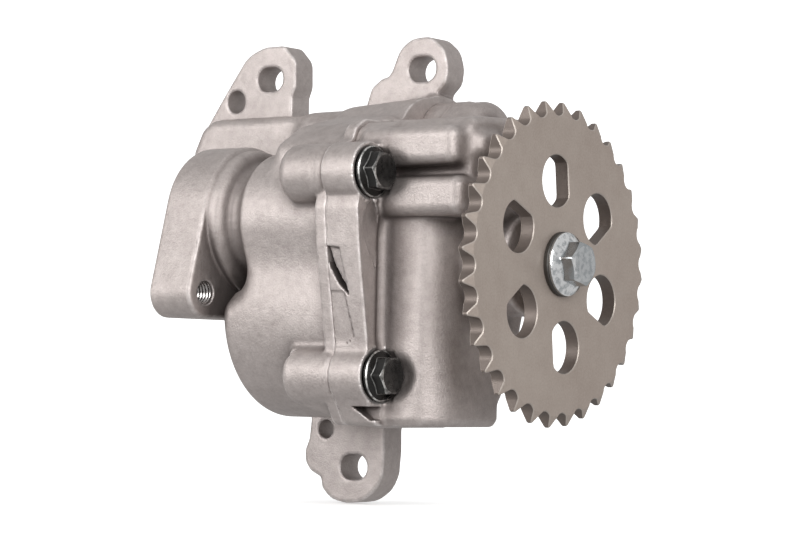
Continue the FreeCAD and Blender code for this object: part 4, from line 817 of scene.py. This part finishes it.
def node(nt, kind, **kw):
    n = nt.nodes.new(kind)
    for k, v in kw.items():
        if k in n.inputs:
            n.inputs[k].default_value = v
        else:
            setattr(n, k, v)
    return n


def noise(nt, scale, detail=4.0, rough=0.55, distortion=0.0):
    c = node(nt, "ShaderNodeTexCoord")
    t = node(nt, "ShaderNodeTexNoise")
    t.inputs["Scale"].default_value = scale
    t.inputs["Detail"].default_value = detail
    t.inputs["Roughness"].default_value = rough
    t.inputs["Distortion"].default_value = distortion
    nt.links.new(c.outputs["Object"], t.inputs["Vector"])
    return t.outputs["Fac"]


def ramp(nt, fac, stops):
    r = node(nt, "ShaderNodeValToRGB")
    e = r.color_ramp.elements
    while len(e) < len(stops):
        e.new(0.5)
    for k, (p, c) in enumerate(stops):
        e[k].position = p
        e[k].color = (*c, 1) if len(c) == 3 else c
    nt.links.new(fac, r.inputs["Fac"])
    return r.outputs["Color"]


def mix(nt, fac, a, b, mode="MIX"):
    m = nt.nodes.new("ShaderNodeMix")
    m.data_type = "RGBA"
    m.blend_type = mode
    for sock, v in ((m.inputs[0], fac), (m.inputs[6], a), (m.inputs[7], b)):
        if isinstance(v, (int, float)):
            sock.default_value = v
        elif isinstance(v, tuple):
            sock.default_value = (*v, 1)
        else:
            nt.links.new(v, sock)
    return m.outputs[2]


def calc(nt, op, a, b=None, clamp=False):
    m = nt.nodes.new("ShaderNodeMath")
    m.operation = op
    m.use_clamp = clamp
    for sock, v in ((m.inputs[0], a), (m.inputs[1], b)):
        if v is None:
            continue
        if isinstance(v, (int, float)):
            sock.default_value = v
        else:
            nt.links.new(v, sock)
    return m.outputs[0]


def mixf(nt, fac, a, b):
    m = nt.nodes.new("ShaderNodeMix")
    m.data_type = "FLOAT"
    for sock, v in ((m.inputs[0], fac), (m.inputs[2], a), (m.inputs[3], b)):
        if isinstance(v, (int, float)):
            sock.default_value = v
        else:
            nt.links.new(v, sock)
    return m.outputs[0]


def remap(nt, v, a, b, c, d):
    m = nt.nodes.new("ShaderNodeMapRange")
    m.inputs["From Min"].default_value = a
    m.inputs["From Max"].default_value = b
    m.inputs["To Min"].default_value = c
    m.inputs["To Max"].default_value = d
    nt.links.new(v, m.inputs["Value"])
    return m.outputs["Result"]


def bump(nt, bsdf, height, dist, strength=1.0, into=None):
    b = nt.nodes.new("ShaderNodeBump")
    b.inputs["Distance"].default_value = dist
    b.inputs["Strength"].default_value = strength
    nt.links.new(height, b.inputs["Height"])
    if into is not None:
        nt.links.new(into, b.inputs["Normal"])
    nt.links.new(b.outputs["Normal"], bsdf.inputs["Normal"])
    return b.outputs["Normal"]


def attr(nt, name):
    a = nt.nodes.new("ShaderNodeAttribute")
    a.attribute_name = name
    return a.outputs["Fac"]


def cast_metal(name):
    """Sand-grey die casting: mottled skin, lighter edges (painted highlight, partly rubbed wear), painted shade in
    corners and hollows, bright machined faces.
    """
    m, nt, bsdf = material(name, 0.72, 0.42, (0.400, 0.356, 0.334))
    big = noise(nt, 38, 3)
    mid = noise(nt, 330, 5, 0.62)
    fine = noise(nt, 1700, 3, 0.7)
    col = ramp(nt, big, [(0.3, (0.375, 0.330, 0.314)), (0.7, (0.505, 0.450, 0.430))])
    col = mix(nt, 0.27, col, ramp(nt, mid, [(0.3, (0.255, 0.217, 0.205)), (0.7, (0.650, 0.594, 0.570))]))
    col = mix(nt, 0.15, col, ramp(nt, fine, [(0.34, (0.140, 0.117, 0.110)), (0.66, (0.700, 0.649, 0.630))]))
    bend = attr(nt, "bend")
    # painted highlight: convex edges (high bend) turn lighter, broken up by the mid grain, partly standing for rubbed
    # wear
    edge = calc(nt, "MULTIPLY", remap(nt, bend, 0.26, 0.70, 0.0, 1.0), remap(nt, mid, 0.34, 0.58, 0.15, 1.0), True)
    # painted shade: concave creases (negative bend) darken
    crease_shade = remap(nt, bend, -0.10, -0.75, 0.0, 1.0)
    # painted shade: hollows and corners darken by how closed in they are (less near the mounting face)
    col = mix(nt, remap(nt, attr(nt, "closed"), 0.04, 0.75, 0.0, 0.82), col, (0.105, 0.086, 0.080))
    # paint the crease shade colour
    col = mix(nt, calc(nt, "MULTIPLY", crease_shade, 0.6, True), col, (0.115, 0.094, 0.088))
    # paint the edge highlight colour
    col = mix(nt, calc(nt, "MULTIPLY", edge, 0.7, True), col, (0.820, 0.770, 0.750))
    cutm = attr(nt, "cut")
    fresh = mix(nt, 0.5, (0.630, 0.592, 0.573), ramp(nt, noise(nt, 520, 2), [(0.35, (0.520, 0.481, 0.463)), (0.65, (0.720, 0.678, 0.659))]))
    col = mix(nt, cutm, col, fresh)
    nt.links.new(col, bsdf.inputs["Base Color"])
    nt.links.new(mixf(nt, cutm, remap(nt, fine, 0.3, 0.7, 0.42, 0.60), 0.32), bsdf.inputs["Roughness"])
    h = calc(nt, "ADD", calc(nt, "MULTIPLY", mid, 0.55), calc(nt, "MULTIPLY", fine, 0.45))
    h = calc(nt, "MULTIPLY", h, remap(nt, cutm, 0, 1, 1.0, 0.10))
    bump(nt, bsdf, h, 0.00026)
    return m


CAST = cast_metal("cast_aluminium")
for ob in (rear_ob, front_ob):
    ob.data.materials.append(CAST)


def plain_metal(name, colour, rough, metallic=1.0, spread=0.12, scale=700.0, depth=0.00003, rim_highlight=None):
    m, nt, bsdf = material(name, metallic, rough, colour)
    a = noise(nt, scale, 5, 0.65)
    b = noise(nt, scale * 0.12, 2)
    lo = tuple(c * (1 - spread) for c in colour)
    hi = tuple(min(1, c * (1 + spread)) for c in colour)
    col = mix(nt, 0.5, ramp(nt, a, [(0.3, lo), (0.7, hi)]), ramp(nt, b, [(0.3, lo), (0.7, hi)]))
    # painted highlight: rim-marked faces turn toward this colour in patches; on the bolts it lights the lips and
    # chamfers
    if rim_highlight:
        patch = remap(nt, noise(nt, 600, 3), 0.38, 0.56, 0.25, 1.0)
        col = mix(nt, calc(nt, "MULTIPLY", attr(nt, "rim"), patch, True), col, rim_highlight)
    nt.links.new(col, bsdf.inputs["Base Color"])
    nt.links.new(remap(nt, a, 0.3, 0.7, max(0.05, rough - 0.08), rough + 0.08), bsdf.inputs["Roughness"])
    bump(nt, bsdf, a, depth)
    return m


def sintered_wheel(name):
    """Brown-grey sintered steel with a fine pressed grain, a painted highlight along the chamfers and painted shade on
    the walls.
    """
    m, nt, bsdf = material(name, 0.45, 0.46, (0.380, 0.316, 0.274))
    a = noise(nt, 1500, 4, 0.65)
    b = noise(nt, 26, 3, 0.5, 0.6)
    c = noise(nt, 150, 4, 0.6)
    col = ramp(nt, b, [(0.3, (0.365, 0.300, 0.259)), (0.7, (0.430, 0.365, 0.318))])
    col = mix(nt, 0.22, col, ramp(nt, c, [(0.32, (0.318, 0.256, 0.219)), (0.68, (0.477, 0.412, 0.365))]))
    col = mix(nt, 0.14, col, ramp(nt, a, [(0.35, (0.144, 0.115, 0.098)), (0.65, (0.558, 0.496, 0.451))]))
    rim = attr(nt, "rim")
    # painted shade: the walls of the teeth, holes and bore darken
    col = mix(nt, calc(nt, "MULTIPLY", remap(nt, rim, 0.0, 0.4, 0.0, 1.0), 0.85), col, (0.110, 0.087, 0.076))
    # painted highlight: the chamfers turn lighter
    col = mix(nt, calc(nt, "MULTIPLY", remap(nt, rim, 0.5, 1.0, 0.0, 1.0), 0.75), col, (0.500, 0.445, 0.400))
    nt.links.new(col, bsdf.inputs["Base Color"])
    nt.links.new(remap(nt, a, 0.3, 0.7, 0.40, 0.52), bsdf.inputs["Roughness"])
    bump(nt, bsdf, a, 0.00004)
    return m


MATS = {
    "sprocket_steel": sintered_wheel("sprocket_steel"),
    "tapped": plain_metal("tapped_aluminium", (0.46, 0.44, 0.43), 0.24, 1.0, 0.15, 900.0),
    "sintered_steel": plain_metal("sintered_steel", (0.42, 0.41, 0.40), 0.45),
    "ground_steel": plain_metal("ground_steel", (0.60, 0.60, 0.60), 0.25),
    "spring_steel": plain_metal("spring_steel", (0.38, 0.38, 0.40), 0.35),
    "bronze": plain_metal("bronze", (0.60, 0.44, 0.24), 0.35),
    "dark_steel": plain_metal("dark_steel", (0.10, 0.095, 0.09), 0.5),
    # the last colour of zinc_steel and black_steel is their painted rim highlight
    "zinc_steel": plain_metal("zinc_steel", (0.40, 0.425, 0.44), 0.20, 1.0, 0.25, 330.0, 0.00006, (0.98, 0.985, 0.99)),
    "black_steel": plain_metal("black_steel", (0.030, 0.029, 0.028), 0.30, 0.75, 0.35, 420.0, 0.00005, (0.66, 0.65, 0.63)),
    "seal_metal": plain_metal("seal_metal", (0.66, 0.65, 0.64), 0.35),
    "seal_rubber": plain_metal("seal_rubber", (0.02, 0.02, 0.02), 0.6, 0.0),
    "plug_steel": plain_metal("plug_steel", (0.52, 0.51, 0.50), 0.35),
    "cast_aluminium": CAST,
}
for ob, key in ((screw_ob, "black_steel"), (hub_ob, "zinc_steel"), (washer_ob, "dark_steel"), (relief_ob, "plug_steel"), (cup_ob, "plug_steel"),
                (thread_ob, "tapped"), (sprocket_ob, "sprocket_steel")):
    ob.data.materials.append(MATS[key])
slots = {s["node"]: s["material_slot"] for s in frame["record"]["subparts"]}
for name, ob in frame["nodes"].items():
    m = MATS.get(slots.get(name, ""))
    if m is not None:
        for k in range(max(1, len(ob.material_slots))):
            if len(ob.material_slots) == 0:
                break
            ob.material_slots[k].material = m

# ------------------------------------------------------------------------------------------------ floor, light, camera
bpy.context.scene.view_settings.view_transform = "Standard"
lowest = min(v[2] for v in cad_box)


def sweep():
    """Pale round floor that rises into a backdrop behind the object."""
    base = lowest - 0.0002
    ring = [0.04, 0.08, 0.12, 0.16, 0.2, 0.25, 0.3, 0.37, 0.5, 0.8, 1.2, 1.6]
    bend = [(1.6 + 0.9 * math.sin(t), 0.9 - 0.9 * math.cos(t)) for t in np.linspace(0.06, math.pi / 2, 24)] + [(2.5, 1.4), (2.5, 2.0)]
    n, V, F, prev = 120, [(0.0, 0.0, base)], [], None
    for r in ring:
        cur = list(range(len(V), len(V) + n))
        V += [(r * math.cos(2 * math.pi * i / n), r * math.sin(2 * math.pi * i / n), base) for i in range(n)]
        if prev is None:
            F += [(0, cur[i], cur[(i + 1) % n]) for i in range(n)]
        else:
            F += [(prev[i], cur[i], cur[(i + 1) % n], prev[(i + 1) % n]) for i in range(n)]
        prev = cur
    back = [i for i in range(n) if abs((360.0 * i / n - 126.0 + 180.0) % 360.0 - 180.0) <= 72.0]
    prev = [prev[i] for i in back]
    for r, z in bend:
        cur = list(range(len(V), len(V) + len(back)))
        V += [(r * math.cos(2 * math.pi * i / n), r * math.sin(2 * math.pi * i / n), base + z) for i in back]
        F += [(prev[k], cur[k], cur[k + 1], prev[k + 1]) for k in range(len(back) - 1)]
        prev = cur
    me = bpy.data.meshes.new("floor_and_backdrop")
    me.from_pydata(V, [], F)
    me.validate()
    me.polygons.foreach_set("use_smooth", [True] * len(me.polygons))
    ob = bpy.data.objects.new("floor_and_backdrop", me)
    bpy.context.scene.collection.objects.link(ob)
    # painted light: the floor glows (emission), brightest behind the object and weaker right under it
    glow = []
    for x, y, z in V:
        r, t = math.hypot(x, y), math.degrees(math.atan2(y, x))
        side = 1.0 if r < 0.7 else min(1.0, max(0.0, (88.0 - abs((t - 126.0 + 180.0) % 360.0 - 180.0)) / 40.0))
        far = min(1.0, max(0.0, 0.45 + r / 0.16))
        glow.append(side * side * (3 - 2 * side) * far)
    attribute(ob, "glow", glow)
    return ob


floor = sweep()
fm, fnt, fb = material("floor_pale", 0.0, 0.95, (0.84, 0.84, 0.84))
fb.inputs["Specular IOR Level"].default_value = 0.0
fb.inputs["Emission Color"].default_value = (1, 1, 1, 1)
# painted light: emission makes the floor glow
fnt.links.new(remap(fnt, attr(fnt, "glow"), 0.0, 1.0, 0.0, 0.85), fb.inputs["Emission Strength"])
floor.data.materials.append(fm)
floor.visible_diffuse = False
floor.visible_glossy = False

world = bpy.data.worlds.new("studio")
bpy.context.scene.world = world
world.use_nodes = True
bg = world.node_tree.nodes["Background"]
bg.inputs["Color"].default_value = (1.0, 1.0, 1.0, 1)
# brighter overhead than at the horizon
wt = world.node_tree
sep = wt.nodes.new("ShaderNodeSeparateXYZ")
wt.links.new(wt.nodes.new("ShaderNodeTexCoord").outputs["Generated"], sep.inputs[0])
wt.links.new(remap(wt, sep.outputs["Z"], -0.6, 0.85, 0.52, 0.56), bg.inputs["Strength"])


def area(name, pos, target, size, power, colour=(1, 1, 1)):
    d = bpy.data.lights.new(name, "AREA")
    d.shape = "RECTANGLE"
    d.size, d.size_y = size
    d.energy = power
    d.color = colour
    o = bpy.data.objects.new(name, d)
    bpy.context.scene.collection.objects.link(o)
    o.location = pos
    o.rotation_euler = (Vector(target) - Vector(pos)).to_track_quat("-Z", "Y").to_euler()
    return o


area("key", (-0.50, -1.22, 0.36), (0.03, -0.03, 0.0), (0.9, 0.7), 10.3)
area("side", (1.15, -0.92, 0.42), (0.06, -0.03, 0.0), (1.0, 0.7), 15.5)

# camera solved from the sprocket: azimuth, elevation, roll, pixels of focal length, distance, image point of the sprocket's centre
AZ, EL, ROLL, FPX, DIST, U0, V0 = 36.598, -2.5, 1.0695, 2700.0, 823.615, 561.028, 264.353
a, e, r = (math.radians(v) for v in (AZ, EL, ROLL))
back = np.array([math.sin(a) * math.cos(e), -math.cos(a) * math.cos(e), math.sin(e)])
right = np.array([math.cos(a), math.sin(a), 0.0])
up = np.cross(back, right)
R = math.cos(r) * right + math.sin(r) * up
U = -math.sin(r) * right + math.cos(r) * up
origin = R * (-(U0 - 400.0) / FPX * DIST) + U * ((V0 - 266.5) / FPX * DIST) + back * DIST
cam = bpy.data.cameras.new("camera")
cam.sensor_fit = "HORIZONTAL"
cam.sensor_width = 36.0
cam.lens = FPX / 800.0 * 36.0
cam.clip_start, cam.clip_end = 0.01, 20.0
co = bpy.data.objects.new("camera", cam)
bpy.context.scene.collection.objects.link(co)
pos = (origin + SHIFT) / 1000.0
co.matrix_world = Matrix(((R[0], U[0], back[0], pos[0]), (R[1], U[1], back[1], pos[1]), (R[2], U[2], back[2], pos[2]), (0, 0, 0, 1)))
bpy.context.scene.camera = co
